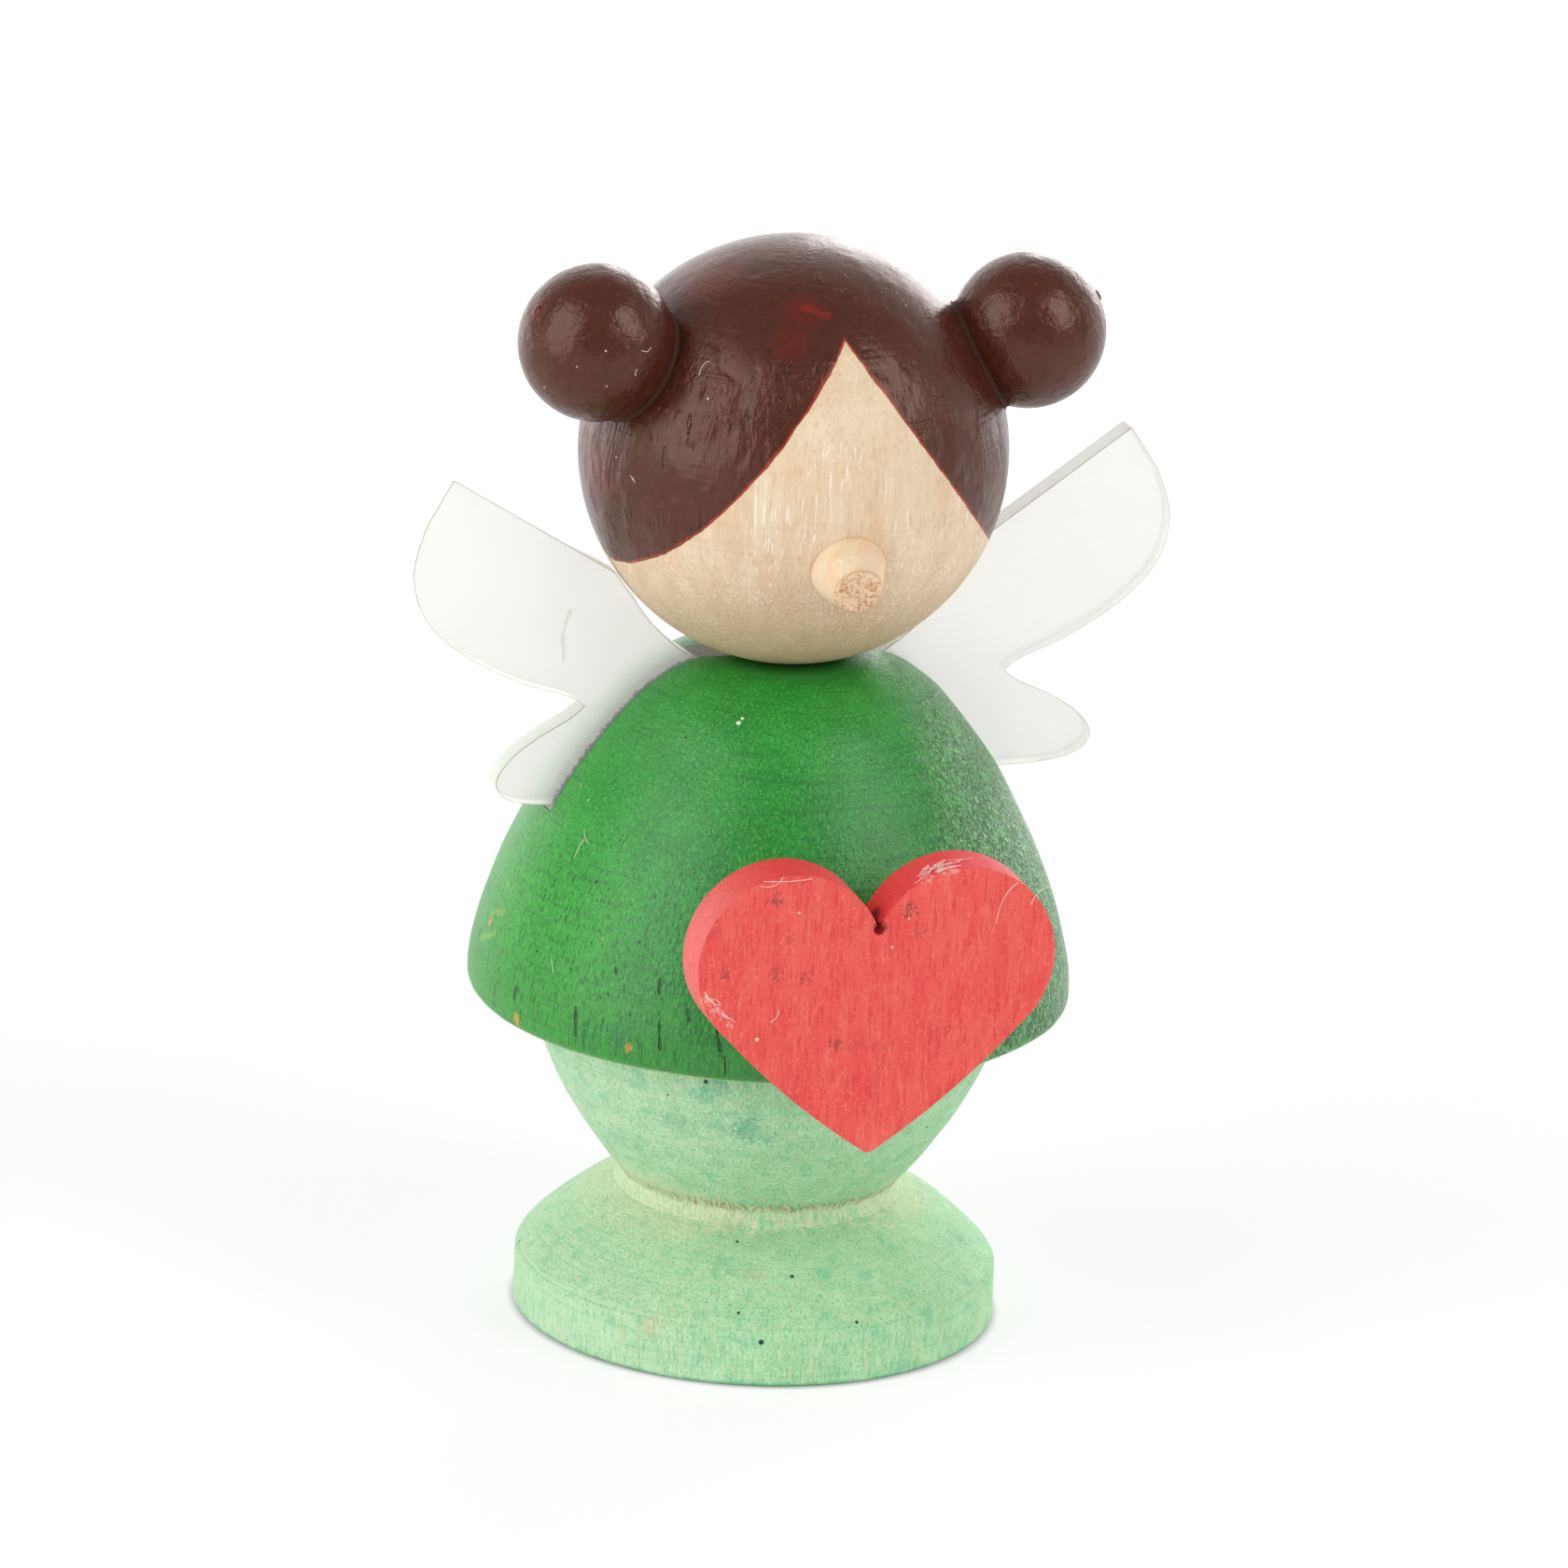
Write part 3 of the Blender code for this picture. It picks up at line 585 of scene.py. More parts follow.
def cut(item, *meshes):
    """Cut shapes out of a piece."""
    tools = [add_piece(mesh.name, mesh) for mesh in meshes]
    for tool in tools:
        boolean = item.modifiers.new(tool.name, "BOOLEAN")
        boolean.operation = "DIFFERENCE"
        boolean.object = tool
    keep_shape(item)
    for tool in tools:
        bpy.data.objects.remove(tool)


dress = turn("dress_dome", dress_profile(), green_stain(), unevenness=0.15 * MM)
kerf_low = (-KERF_REACH, -KERF_HALF, kerf_floor)
cut(dress, box_mesh("kerf", kerf_low, (KERF_REACH, KERF_HALF, dress_top + 1 * MM)))
face_outwards(dress)
hand_over(dress, "dress")

# Wings: one butterfly cut from 1.5 mm frosted sheet, milky and a little see-through, with straight top
# edges. It is pushed down into the kerf and glued, a little off level, and hollowed out for the head.
WING_TILT = math.radians(2.6)
WING_SHIFT = 0.8 * MM
WING_TOP_AT_CENTRE = 6.1 * MM
WING_UPPER = ((18.8, 18.5), (19.7, 17.05), (20.45, 15.7), (21.05, 13.3), (20.35, 10.8), (18.3, 8.75),
              (15.4, 7.05), (12.75, 6.05), (11.75, 5.4))
WING_LOWER = ((11.75, 5.4), (12.6, 4.75), (14.4, 3.8), (15.85, 2.75), (16.65, 1.55), (16.15, 0.6),
              (14.9, 0.15), (13.4, 0.0))
WING_SCOOP_RADIUS = 10.2 * MM
WING_WEB_HEIGHT = 5.85 * MM
WING_EDGE = 0.24 * MM
WING_HEAD_GAP = 0.1 * MM
WING_SCRATCH = ((-12.2, -0.75, 40.15), (-12.55, -0.75, 38.85), (-12.4, -0.75, 37.3))
DOWEL_RADIUS = 2.0 * MM
DOWEL_IN_DRESS = 3.5 * MM


def frosted_sheet():
    """Milky sheet with sawn edges, a scratch, a dark line along the dress on the left, and a painted green
    reflection of the dress near it. It lets light through, and the faint glow stands for the light that
    travels inside it."""
    finish = Finish("frosted_sheet", 0.32)
    finish.fix({"Transmission Weight": 0.5, "IOR": 1.3, "Emission Color": dye(252, 252, 252),
                "Emission Strength": 0.08})
    cloud = finish.noise((0.25, 0.25, 0.25), detail=3.0, seed=4.0)
    colour = finish.blend(cloud, dye(240, 240, 237), dye(245, 245, 242))
    radius = (finish.x ** 2 + finish.y ** 2) ** 0.5
    height = (finish.z - widest_ring / MM) / ((dress_top - widest_ring) / MM)
    outline = finish.node("ShaderNodeFloatCurve", {}, {"Value": height})
    curve = outline.source.node.mapping.curves[0]
    stops = [(0.0, 1.0), *[(tall, wide) for wide, tall in reversed(DRESS_OUTLINE)], (1.0, 0.0)]
    curve.points[0].location, curve.points[1].location = stops[0], stops[-1]
    for stop in stops[1:-1]:
        curve.points.new(*stop)
    outline.source.node.mapping.update()
    outside = radius - (outline * ((DRESS_RADIUS - NECK_RADIUS) / MM) + NECK_RADIUS / MM)
    fuzz = finish.noise((6.0, 6.0, 6.0), detail=3.0, seed=13.0)
    # A dark, fuzzy line on the sheet along the dress on the left.
    dark_line_by_dress = (outside - fuzz * 0.8).below(-0.45, -0.2) * finish.x.below(-4.0, -3.0)
    facing = finish.facing()
    sawn = facing.below(0.1, 0.35)
    rim = facing.above(0.25, 0.45) * facing.below(0.93, 0.995)
    upper = finish.line(*WING_SCRATCH[:2], 0.12, wobble=0.5)
    scratch = most([upper, finish.line(*WING_SCRATCH[1:], 0.14, wobble=0.5)])
    colour = finish.layers(colour, (
        # Painted reflection: a faint green cast of the dress on the sheet near it.
        (outside.below(0.0, 4.0) * 0.15, (222, 228, 214)),
        (dark_line_by_dress * 0.75, (84, 94, 72)),
        (sawn * 0.5, (252, 250, 242)),
        (rim, (150, 138, 100)),
        (scratch * 0.45, (196, 176, 148))))
    relief = finish.noise((0.8, 0.8, 9.0), detail=2.0, seed=8.0) - scratch
    finish.wear(colour, relief=relief, depth=0.012)
    return finish


def plate_mesh(name, outline, low, high):
    """A flat plate from an outline of x and height, between two depths along Y."""
    shape = bmesh.new()
    corners = [shape.verts.new((x, low, height)) for x, height in outline]
    front = shape.faces.new(corners)
    grown = bmesh.ops.extrude_face_region(shape, geom=[front])
    moved = [part for part in grown["geom"] if isinstance(part, bmesh.types.BMVert)]
    bmesh.ops.translate(shape, verts=moved, vec=(0.0, high - low, 0.0))
    bmesh.ops.recalc_face_normals(shape, faces=shape.faces)
    return mesh_of(name, shape)


def soften_edges(item, width, segments=3):
    """Round the edges of a flat piece and keep its faces flat."""
    bevel = item.modifiers.new("edges", "BEVEL")
    bevel.width = width
    bevel.segments = segments
    bevel.limit_method = "ANGLE"
    bevel.angle_limit = math.radians(60)
    item.data.shade_smooth()
    item.modifiers.new("flat faces", "WEIGHTED_NORMAL")
    keep_shape(item)


def wing_plate(finish):
    """The butterfly outline, tilted and shifted in the kerf, then cut for the head and the dowel."""
    upper, lower = (smooth_line([(x * MM, height * MM) for x, height in edge])
                    for edge in (WING_UPPER, WING_LOWER))
    side = upper + lower[1:]
    outline = [(0.0, WING_TOP_AT_CENTRE)] + side + [(-x, height) for x, height in reversed(side)]
    plate = plate_mesh("wing_plate", outline, -WING_THICKNESS / 2, WING_THICKNESS / 2)
    wings = add_piece("wing_plate", plate)
    lowest = min(x * math.sin(WING_TILT) + height * math.cos(WING_TILT) for x, height in outline)
    seat = Vector((WING_SHIFT, 0.0, kerf_floor + FIT_GAP - lowest))
    tilted = Matrix.Translation(seat) @ Matrix.Rotation(-WING_TILT, 4, "Y")
    wings.data.transform(tilted)
    scoop_place = tilted @ Matrix.Translation((0.0, 0.0, WING_WEB_HEIGHT + WING_SCOOP_RADIUS))
    half = DOWEL_RADIUS + FIT_GAP
    low = (-half, -WING_THICKNESS, dress_top - DOWEL_IN_DRESS - FIT_GAP)
    cut(wings, rod_mesh("scoop", WING_SCOOP_RADIUS, 4 * WING_THICKNESS, scoop_place),
        rod_mesh("head_relief", HEAD_RADIUS + WING_HEAD_GAP, 4 * WING_THICKNESS,
                 Matrix.Translation(head_centre)),
        box_mesh("dowel_notch", low, (half, WING_THICKNESS, dress_top)))
    soften_edges(wings, WING_EDGE)
    wings.data.materials.append(finish.material)
    return wings


wings = wing_plate(frosted_sheet())
hand_over(wings, "wings")

# Head: a ball of pale hardwood on a hidden dowel, turned upright, with its hair dipped on in brown paint
# from the left and from the right, so that the two round edges meet in a point over the face. Each dip has
# its direction and, in millimetres, how far from the middle of the ball its paint ends.
HAIR_DIPS = ((Vector((-0.7985, 0.0098, 0.6019)), 4.77), (Vector((0.789, -0.0577, 0.6117)), 5.42))
THIN_PAINT = (((-5.5, -1.5, 58.5), 2.3), ((-1.8, -6.5, 57.8), 1.5), ((-2.8, -7.8, 56.5), 1.3),
              ((-11.3, -1.9, 48.4), 2.2))
RED_STREAK = ((-1.7, -6.4, 57.95), (-0.7, -6.95, 57.6))
HAIR_LINT = (((-9.0, -2.8, 55.1), 0.08), ((-7.1, -7.5, 53.5), 0.08), ((-10.3, -5.1, 48.6), 0.09),
             ((-10.9, -3.7, 49.4), 0.1), ((-4.2, -8.6, 54.6), 0.07), ((4.9, -8.6, 53.3), 0.08))
HAIR_CRACKS = (((-9.2, -4.2, 54.0), (-9.6, -5.8, 51.0)), ((-9.1, -6.7, 50.7), (-9.0, -6.9, 46.7)),
               ((-10.9, -3.4, 50.0), (-11.1, -3.2, 46.9)), ((-8.0, -7.3, 52.6), (-8.1, -7.6, 50.7)))
NOSE_DROP = math.radians(18.5)
nose_direction = Vector((0.0, -math.cos(NOSE_DROP), -math.sin(NOSE_DROP)))


def bare_wood(finish):
    """The colour and relief of bare pale hardwood: faint bands, whitish flecks and fine upright pores."""
    pores = finish.noise((7.5, 7.5, 1.0), detail=4.0, seed=6.0)
    bands = finish.noise((1.0, 1.0, 0.06), detail=6.0, seed=12.0)
    colour = finish.blend(bands.above(0.34, 0.66), dye(219, 194, 161), dye(229, 209, 179))
    warm = finish.noise((0.5, 0.5, 0.4), detail=7.0, seed=37.0).above(0.52, 0.72)
    flecks = finish.noise((7.0, 7.0, 0.18), detail=2.0, seed=33.0).above(0.59, 0.66)
    flecks = flecks * finish.noise((0.5, 0.5, 0.3), detail=2.0, seed=35.0).above(0.4, 0.55)
    flecks = flecks * (1 - finish.z.above(50.0, 53.5) * 0.9)
    colour = finish.layers(colour, (
        (warm * 0.4, (222, 184, 146)),
        (pores.below(0.35, 0.44) * 0.35, (194, 160, 120)),
        (pores.above(0.57, 0.66) * 0.3, (240, 226, 202)),
        (flecks * 0.7, (250, 244, 232))))
    return colour, pores


def brown_gloss(finish):
    """The colour of brown paint over wood grain, thin and reddish in places."""
    finish.fix({"Specular IOR Level": 0.5, "Specular Tint": dye(255, 226, 208)})
    thin = finish.noise((0.35, 0.35, 0.35), detail=6.0, seed=14.0).above(0.54, 0.74)
    patch = finish.noise((2.0, 2.0, 1.6), detail=7.0, seed=15.0)
    colour = finish.blend(patch.above(0.3, 0.7), dye(68, 31, 22), dye(79, 37, 26))
    return finish.over(thin * 0.25, colour, (98, 34, 26))


def patchy(finish):
    """Soft patches about a millimetre across, from 0 to 1."""
    return finish.noise((0.9, 0.9, 0.9), detail=3.0, seed=38.0).above(0.35, 0.65)


def painted_head():
    """Bare face and brown hair on one ball, with a thin red line where the paint ends."""
    finish = Finish("painted_head", 0.4)
    wood, grain = bare_wood(finish)
    low = (finish.z + grain * 1.5).below(40.5, 46.0)
    rings = finish.tool_marks(3.2, seed=4.0, detail=3.0, turns=1.0)
    rough = finish.noise((8.0, 8.0, 6.0), detail=3.0, seed=45.0)
    root = finish.along(nose_direction) - head_centre.dot(nose_direction) / MM
    from_nose = (finish.away_from(head_centre / MM) ** 2 - root ** 2) ** 0.5
    # A darker ring round the root of the nose.
    nose_root_ring = from_nose.below(1.95, 2.2) * root.above(5.0, 9.0)
    wood = finish.layers(wood, (
        (low * 0.42, (196, 168, 124)),
        (rings.above(0.56, 0.7) * 0.2, (196, 168, 130)),
        (rough.above(0.53, 0.61) * low * 0.32, (150, 124, 86)),
        (nose_root_ring * 0.4, (190, 148, 106))))
    wobble = (finish.noise((0.6, 0.6, 0.6), detail=3.0, seed=1.0) - 0.5) * 0.22
    wobble = wobble + (finish.noise((4.0, 4.0, 4.0), detail=2.0, seed=36.0) - 0.5) * 0.08
    reaches = []
    for direction, distance in HAIR_DIPS:
        start = distance + direction.z * head_centre.z / MM
        reaches.append(finish.along(direction) - start + wobble)
    reach = most(reaches)
    hair = reach.above(-0.02, 0.03)
    line = reach.above(-0.05, 0.0) * reach.below(0.02, 0.15)
    brown = brown_gloss(finish)
    ridges = finish.noise((4.2, 4.2, 0.8), detail=3.0, seed=16.0)
    crinkled = finish.noise((0.4, 0.4, 0.3), detail=2.0, seed=22.0).above(0.4, 0.6) * 0.8 + 0.15
    crinkled = crinkled * (1 - finish.z.above(54.0, 57.0) * 0.7)
    torn = finish.noise((4.0, 4.0, 0.35), detail=2.0, seed=18.0).above(0.65, 0.7)
    torn = torn * finish.noise((0.35, 0.35, 0.35), detail=1.0, seed=20.0).above(0.45, 0.6)
    torn = most([torn, finish.strokes(HAIR_CRACKS, 0.13, wobble=0.35)])
    brown = finish.layers(brown, (
        (finish.spots(THIN_PAINT, ragged=1.5) * 0.26, (120, 30, 24)),
        (finish.line(*RED_STREAK, 0.32, wobble=1.0) * 0.4, (146, 34, 28)),
        (torn * 0.6, (38, 16, 12)),
        (finish.spots(HAIR_LINT), (214, 196, 184))))
    colour = finish.blend(hair, wood, brown)
    colour = finish.over(line * (patchy(finish) * 0.5 + 0.45), colour, (190, 62, 38))
    painted = (ridges + rings) * crinkled + grain * 0.08 - torn + 0.6
    relief = (grain * 0.35 + rings * 0.15 + rough * low * 0.4) * (1 - hair) + painted * hair
    finish.wear(colour, roughness=0.5 - hair * 0.28 + ridges * 0.08, relief=relief, depth=0.1)
    return finish


half_circle = arc((0.0, head_centre.z), HEAD_RADIUS, math.pi / 2, -math.pi / 2, 96)
head = turn("head_ball", half_circle, painted_head(), unevenness=0.03 * MM)
hand_over(head, "head")

# Neck dowel: plain turned stick of bare wood that holds the head on the dress, hidden once they are glued.
# It keeps the shape of its solid and gets a finish only.
plain_wood = Finish("plain_wood", 0.6)
stick_colour, stick_grain = bare_wood(plain_wood)
plain_wood.wear(stick_colour, relief=stick_grain, depth=0.04)
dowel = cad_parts["neck_dowel"]
dowel.data.materials.clear()
dowel.data.materials.append(plain_wood.material)

# Buns: two small balls with a nub where they were parted from the rod, glued on with a tenon and painted
# with the head, so that paint fills the corner round each one.
BUN_RADIUS = 4.17 * MM
BUN_STAND_OUT = 2.5 * MM
BUN_RISE = math.radians(29.5)
BUN_FORWARD = math.radians(12.7)
BUN_NUB_RADIUS = 0.35 * MM
BUN_NUB_HEIGHT = 0.1 * MM
PAINT_FILLET = 0.18 * MM
BUN_SUNK = 0.3 * MM
BUN_LINT = (((-12.53, -6.75, 56.04), 0.07), ((-12.36, -6.61, 54.09), 0.06), ((-15.16, -4.52, 53.56), 0.07),
            ((-13.93, -6.3, 55.11), 0.05), ((14.2, -5.2, 57.0), 0.06))
bun_distance = HEAD_RADIUS + BUN_STAND_OUT


def painted_bun(name, direction):
    """Brown paint over fine rings round the bun's own axis, reddish on the nub, with painted shade in the
    corner.
    """
    finish = Finish(name, 0.36)
    centre = head_centre + direction * bun_distance
    out = finish.along(direction) - centre.dot(direction) / MM
    rings = out * 6.0 + finish.noise((0.9, 0.9, 0.9), detail=3.0) * 6.0
    rings = rings.maths("SINE", rings)
    lumps = finish.noise((1.6, 1.6, 1.6), detail=3.0, seed=19.0, distortion=0.6)
    fine = finish.noise((6.0, 6.0, 6.0), detail=3.0, seed=21.0)
    colour = brown_gloss(finish)
    nub = out.above((BUN_RADIUS - 0.06 * MM) / MM, (BUN_RADIUS - 0.01 * MM) / MM)
    from_head = finish.away_from(head_centre / MM) - HEAD_RADIUS / MM
    # Painted shade in the corner where the bun meets the head; the paint there is rougher too.
    corner = from_head.below(0.15, 0.4)
    colour = finish.layers(colour, (
        (nub * 0.6, (96, 30, 24)),
        (corner * 0.4, (36, 15, 11)),
        (finish.spots(BUN_LINT), (214, 196, 184))))
    relief = rings * 0.05 + lumps * 0.6 + fine * 0.16
    finish.wear(colour, roughness=fine * 0.1 + 0.19 + corner * 0.5, relief=relief, depth=0.12)
    return finish


def bun_profile():
    """The nub, the ball and the paint in the corner, ending inside the head."""
    corner = HEAD_RADIUS + PAINT_FILLET
    reach = BUN_RADIUS + PAINT_FILLET
    fillet_height = (corner ** 2 - reach ** 2 + bun_distance ** 2) / (2 * bun_distance)
    fillet_radius = math.sqrt(corner ** 2 - fillet_height ** 2)
    ball_end = math.atan2(fillet_height - bun_distance, fillet_radius)
    head_side = math.atan2(fillet_height, fillet_radius)
    nub_on_ball = math.acos(BUN_NUB_RADIUS / BUN_RADIUS)
    nub_top = bun_distance + BUN_RADIUS + BUN_NUB_HEIGHT
    profile = [(0.0, nub_top), (BUN_NUB_RADIUS * 0.5, nub_top), (BUN_NUB_RADIUS * 0.85, nub_top - 0.05 * MM)]
    profile += arc((0.0, bun_distance), BUN_RADIUS, nub_on_ball, ball_end, 60)
    corner_turn = (ball_end + math.pi, head_side + math.pi)
    profile += arc((fillet_radius, fillet_height), PAINT_FILLET, *corner_turn, 8)[1:]
    inner = HEAD_RADIUS - BUN_SUNK
    profile += arc((0.0, 0.0), inner, head_side, math.pi / 2, 12)
    return profile


bun_centres = {}
for side, name in ((-1, "left"), (1, "right")):
    level = Vector((side * math.cos(BUN_FORWARD), -math.sin(BUN_FORWARD), 0.0))
    direction = level * math.cos(BUN_RISE) + Vector((0.0, 0.0, math.sin(BUN_RISE)))
    place = Matrix.Translation(head_centre) @ direction.to_track_quat("Z", "Y").to_matrix().to_4x4()
    bun = turn("bun_ball_" + name, bun_profile(), painted_bun("painted_bun_" + name, direction), steps=128,
               unevenness=0.05 * MM, fineness=0.4 / MM, place=place)
    hand_over(bun, "bun_" + name)
    bun_centres[name] = head_centre + direction * bun_distance

# Nose: a tapered peg of the same bare wood, pushed into a hole in the front of the ball, below its middle.
# Its end grain is torn and rough at the tip.
NOSE_ROOT_RADIUS = 2.0 * MM
NOSE_TIP_RADIUS = 1.3 * MM
NOSE_LENGTH = 2.0 * MM
NOSE_IN_HEAD = 1.5 * MM
NOSE_EDGE = 0.2 * MM


def peg_wood():
    """Bare wood along the peg, orange in places, and torn pinkish fibres curling round its end."""
    finish = Finish("peg_wood", 0.6)
    side, grain = bare_wood(finish)
    out = finish.along(nose_direction) - (head_centre.dot(nose_direction) + HEAD_RADIUS + NOSE_LENGTH) / MM
    end = out.above(-0.2, -0.06)
    torn = finish.noise((2.4, 2.4, 2.4), detail=5.0, seed=31.0, distortion=1.8)
    pink = finish.blend(torn.above(0.34, 0.56), dye(204, 148, 106), dye(240, 208, 172))
    rim = out.above(-0.4, -0.12) * (1 - end)
    stained = finish.noise((0.9, 0.9, 0.9), detail=4.0, seed=39.0).above(0.45, 0.65)
    side = finish.layers(side, (
        (0.45, (234, 208, 172)),
        (stained * 0.35, (232, 178, 122))))
    colour = finish.blend(end, side, pink)
    colour = finish.over(rim * 0.4, colour, (206, 150, 108))
    finish.wear(colour, relief=grain * 0.4 + end * torn, depth=0.16)
    return finish


def nose_profile():
    """The tip with its broken edge, the taper and a short run into the head."""
    tip = HEAD_RADIUS + NOSE_LENGTH
    profile = straight((0.0, tip), (NOSE_TIP_RADIUS - NOSE_EDGE, tip), 10)
    profile += arc((NOSE_TIP_RADIUS - NOSE_EDGE, tip - NOSE_EDGE), NOSE_EDGE, math.pi / 2, 0.3, 5)
    profile += straight((NOSE_TIP_RADIUS, tip - NOSE_EDGE), (NOSE_ROOT_RADIUS, HEAD_RADIUS), 12)[1:]
    end = HEAD_RADIUS - NOSE_IN_HEAD
    return profile + [(NOSE_ROOT_RADIUS, HEAD_RADIUS), (NOSE_ROOT_RADIUS, end), (0.0, end)]


nose_place = Matrix.Translation(head_centre) @ nose_direction.to_track_quat("Z", "Y").to_matrix().to_4x4()
nose = turn("nose_peg", nose_profile(), peg_wood(), steps=96, unevenness=0.06 * MM, fineness=1.5 / MM,
            place=nose_place)
hand_over(nose, "nose")

# Heart: sawn from thin board with upright grain, a saw nick in its cleft, stained red and glued flat to
# the widest ring of the dress.
HEART_THICKNESS = 2.7 * MM
HEART_HEIGHT = 15.5 * MM
HEART_LOBE_RADIUS = 5.03 * MM
HEART_LOBE_OFFSET = 4.69 * MM
HEART_SIDE_BULGE = 0.3 * MM
HEART_TIP_RADIUS = 0.5 * MM
HEART_BELOW_HEM = 2.65 * MM
HEART_EDGE = 0.22 * MM
HEART_NICK_RADIUS = 0.28 * MM
HEART_SMUDGES = ((-5.76, 29.7, 0.45), (-4.85, 27.6, 0.4), (-8.15, 25.9, 0.45), (-5.46, 25.6, 0.55),
                 (-3.94, 25.4, 0.5), (1.63, 28.8, 0.6), (2.25, 27.6, 0.4), (-2.17, 21.6, 0.45))
HEART_DUST = ((-6.36, 22.14, 0.14), (0.76, 26.86, 0.1), (-4.4, 29.0, 0.09), (1.6, 28.4, 0.08))
HEART_RUBS = ((2.4, 30.8, 0.6), (3.6, 31.2, 0.8), (-9.3, 24.4, 0.4), (-8.6, 23.7, 0.4), (-7.9, 23.0, 0.3))
HEART_DENT = ((-2.1, 21.6), (0.6, 21.3))
# Where painted shade goes in the saw nick and beside its mouth.
NICK_MOUTH_SHADE = ((0.05, 28.0, 0.5),)
NICK_INNER_SHADE = (((0.0, -17.9, 28.1), 0.8),)
HEART_GLUE_LINE = 0.03 * MM
heart_front = -(DRESS_RADIUS + FIT_GAP + HEART_THICKNESS)
heart_low = hem_height - HEART_BELOW_HEM


def on_front(marks):
    """Marks on the flat front of the heart, each from its x, its height and its radius."""
    return [((x, heart_front / MM, height), radius) for x, height, radius in marks]


def red_stain():
    """Salmon red stain with dark upright pores, dirty smudges, a dent, rubbed edges, painted shade in the saw
    nick and left edges painted lighter.
    """
    finish = Finish("red_stain", 0.6)
    finish.fix({"Specular IOR Level": 0.35})
    grain = finish.noise((7.5, 7.5, 0.9), detail=3.0, seed=23.0)
    lines = finish.noise((6.0, 6.0, 0.4), detail=2.0, seed=27.0)
    speckle = finish.noise((9.0, 9.0, 6.0), detail=3.0, seed=24.0)
    patch = finish.noise((1.0, 1.0, 0.3), detail=7.0, seed=25.0)
    colour = finish.blend(patch.above(0.32, 0.68), dye(229, 76, 72), dye(234, 92, 82))
    smudge = finish.spots(on_front(HEART_SMUDGES), ragged=1.5)
    smudge = smudge * (speckle + grain).below(0.85, 1.1)
    side = finish.facing().below(0.2, 0.9)
    # Painted light: the sawn edges on the left are painted paler, as if lit by the soft box on the left. The
    # deeper red on the other edges is the stain.
    leftwards = (finish.x * -1.0).above(5.0, 9.5)
    rubbed = finish.spots(on_front(HEART_RUBS), ragged=1.2) * speckle.above(0.44, 0.56)
    dent_ends = [(x, heart_front / MM, height) for x, height in HEART_DENT]
    dent = finish.line(*dent_ends, 0.3, wobble=0.3)
    # Painted shade in the saw nick in the cleft and beside its mouth.
    nick = finish.spots([*on_front(NICK_MOUTH_SHADE), *NICK_INNER_SHADE], ragged=0.25)
    colour = finish.layers(colour, (
        (grain.below(0.36, 0.43) * 0.45, (208, 34, 50)),
        (lines.below(0.3, 0.36) * 0.4, (190, 26, 46)),
        (grain.above(0.6, 0.68) * 0.3, (244, 140, 120)),
        (speckle.above(0.57, 0.65) * 0.35, (242, 140, 120)),
        (smudge * 0.6, (104, 54, 50)),
        (finish.spots(on_front(HEART_DUST)) * 0.9, (232, 206, 150)),
        (side * leftwards * 0.4, (240, 138, 136)),
        (side * (1 - leftwards) * 0.65, (232, 50, 62)),
        (side * speckle.below(0.38, 0.46) * 0.5, (206, 38, 54)),
        (rubbed * 0.55, (246, 190, 178)),
        (dent * 0.12, (184, 40, 46)),
        (nick * 0.75, (92, 20, 28))))
    relief = grain * 0.7 + lines * 0.3 + speckle * 0.5 - dent * 0.4
    finish.wear(colour, roughness=grain * 0.2 + 0.48, relief=relief, depth=0.1)
    return finish


def heart_outline():
    """Half of the heart as round lobe, swelling side and round tip, then its mirror image."""
    lobe_centre = Vector((HEART_LOBE_OFFSET, HEART_HEIGHT - HEART_LOBE_RADIUS))
    tip_centre = Vector((0.0, HEART_TIP_RADIUS))
    down = tip_centre - lobe_centre
    cleft = math.pi - math.acos(HEART_LOBE_OFFSET / HEART_LOBE_RADIUS)
    touch = math.atan2(down.y, down.x) + math.acos((HEART_LOBE_RADIUS - HEART_TIP_RADIUS) / down.length)
    lobe = arc(lobe_centre, HEART_LOBE_RADIUS, cleft, touch, 64)
    tip = arc(tip_centre, HEART_TIP_RADIUS, touch, -math.pi / 2, 8)
    outward = Vector((math.cos(touch), math.sin(touch)))
    side = []
    for step in range(1, 24):
        t = step / 24
        swell = outward * HEART_SIDE_BULGE * 4 * t * (1 - t)
        side.append(tuple(Vector(lobe[-1]).lerp(Vector(tip[0]), t) + swell))
    half = lobe + side + tip
    return half + [(-x, height) for x, height in reversed(half[1:-1])]


outline = heart_outline()
heart_back = -(DRESS_RADIUS + HEART_GLUE_LINE)
heart = add_piece("sawn_heart", plate_mesh("sawn_heart", outline, heart_front, heart_back))
heart.data.transform(Matrix.Translation((0.0, 0.0, heart_low)))
cleft = (0.0, heart_front + HEART_THICKNESS / 2, heart_low + outline[0][1])
cut(heart, rod_mesh("nick", HEART_NICK_RADIUS, 3 * HEART_THICKNESS, Matrix.Translation(cleft), steps=32))
soften_edges(heart, HEART_EDGE)
heart.data.materials.append(red_stain().material)
hand_over(heart, "heart")

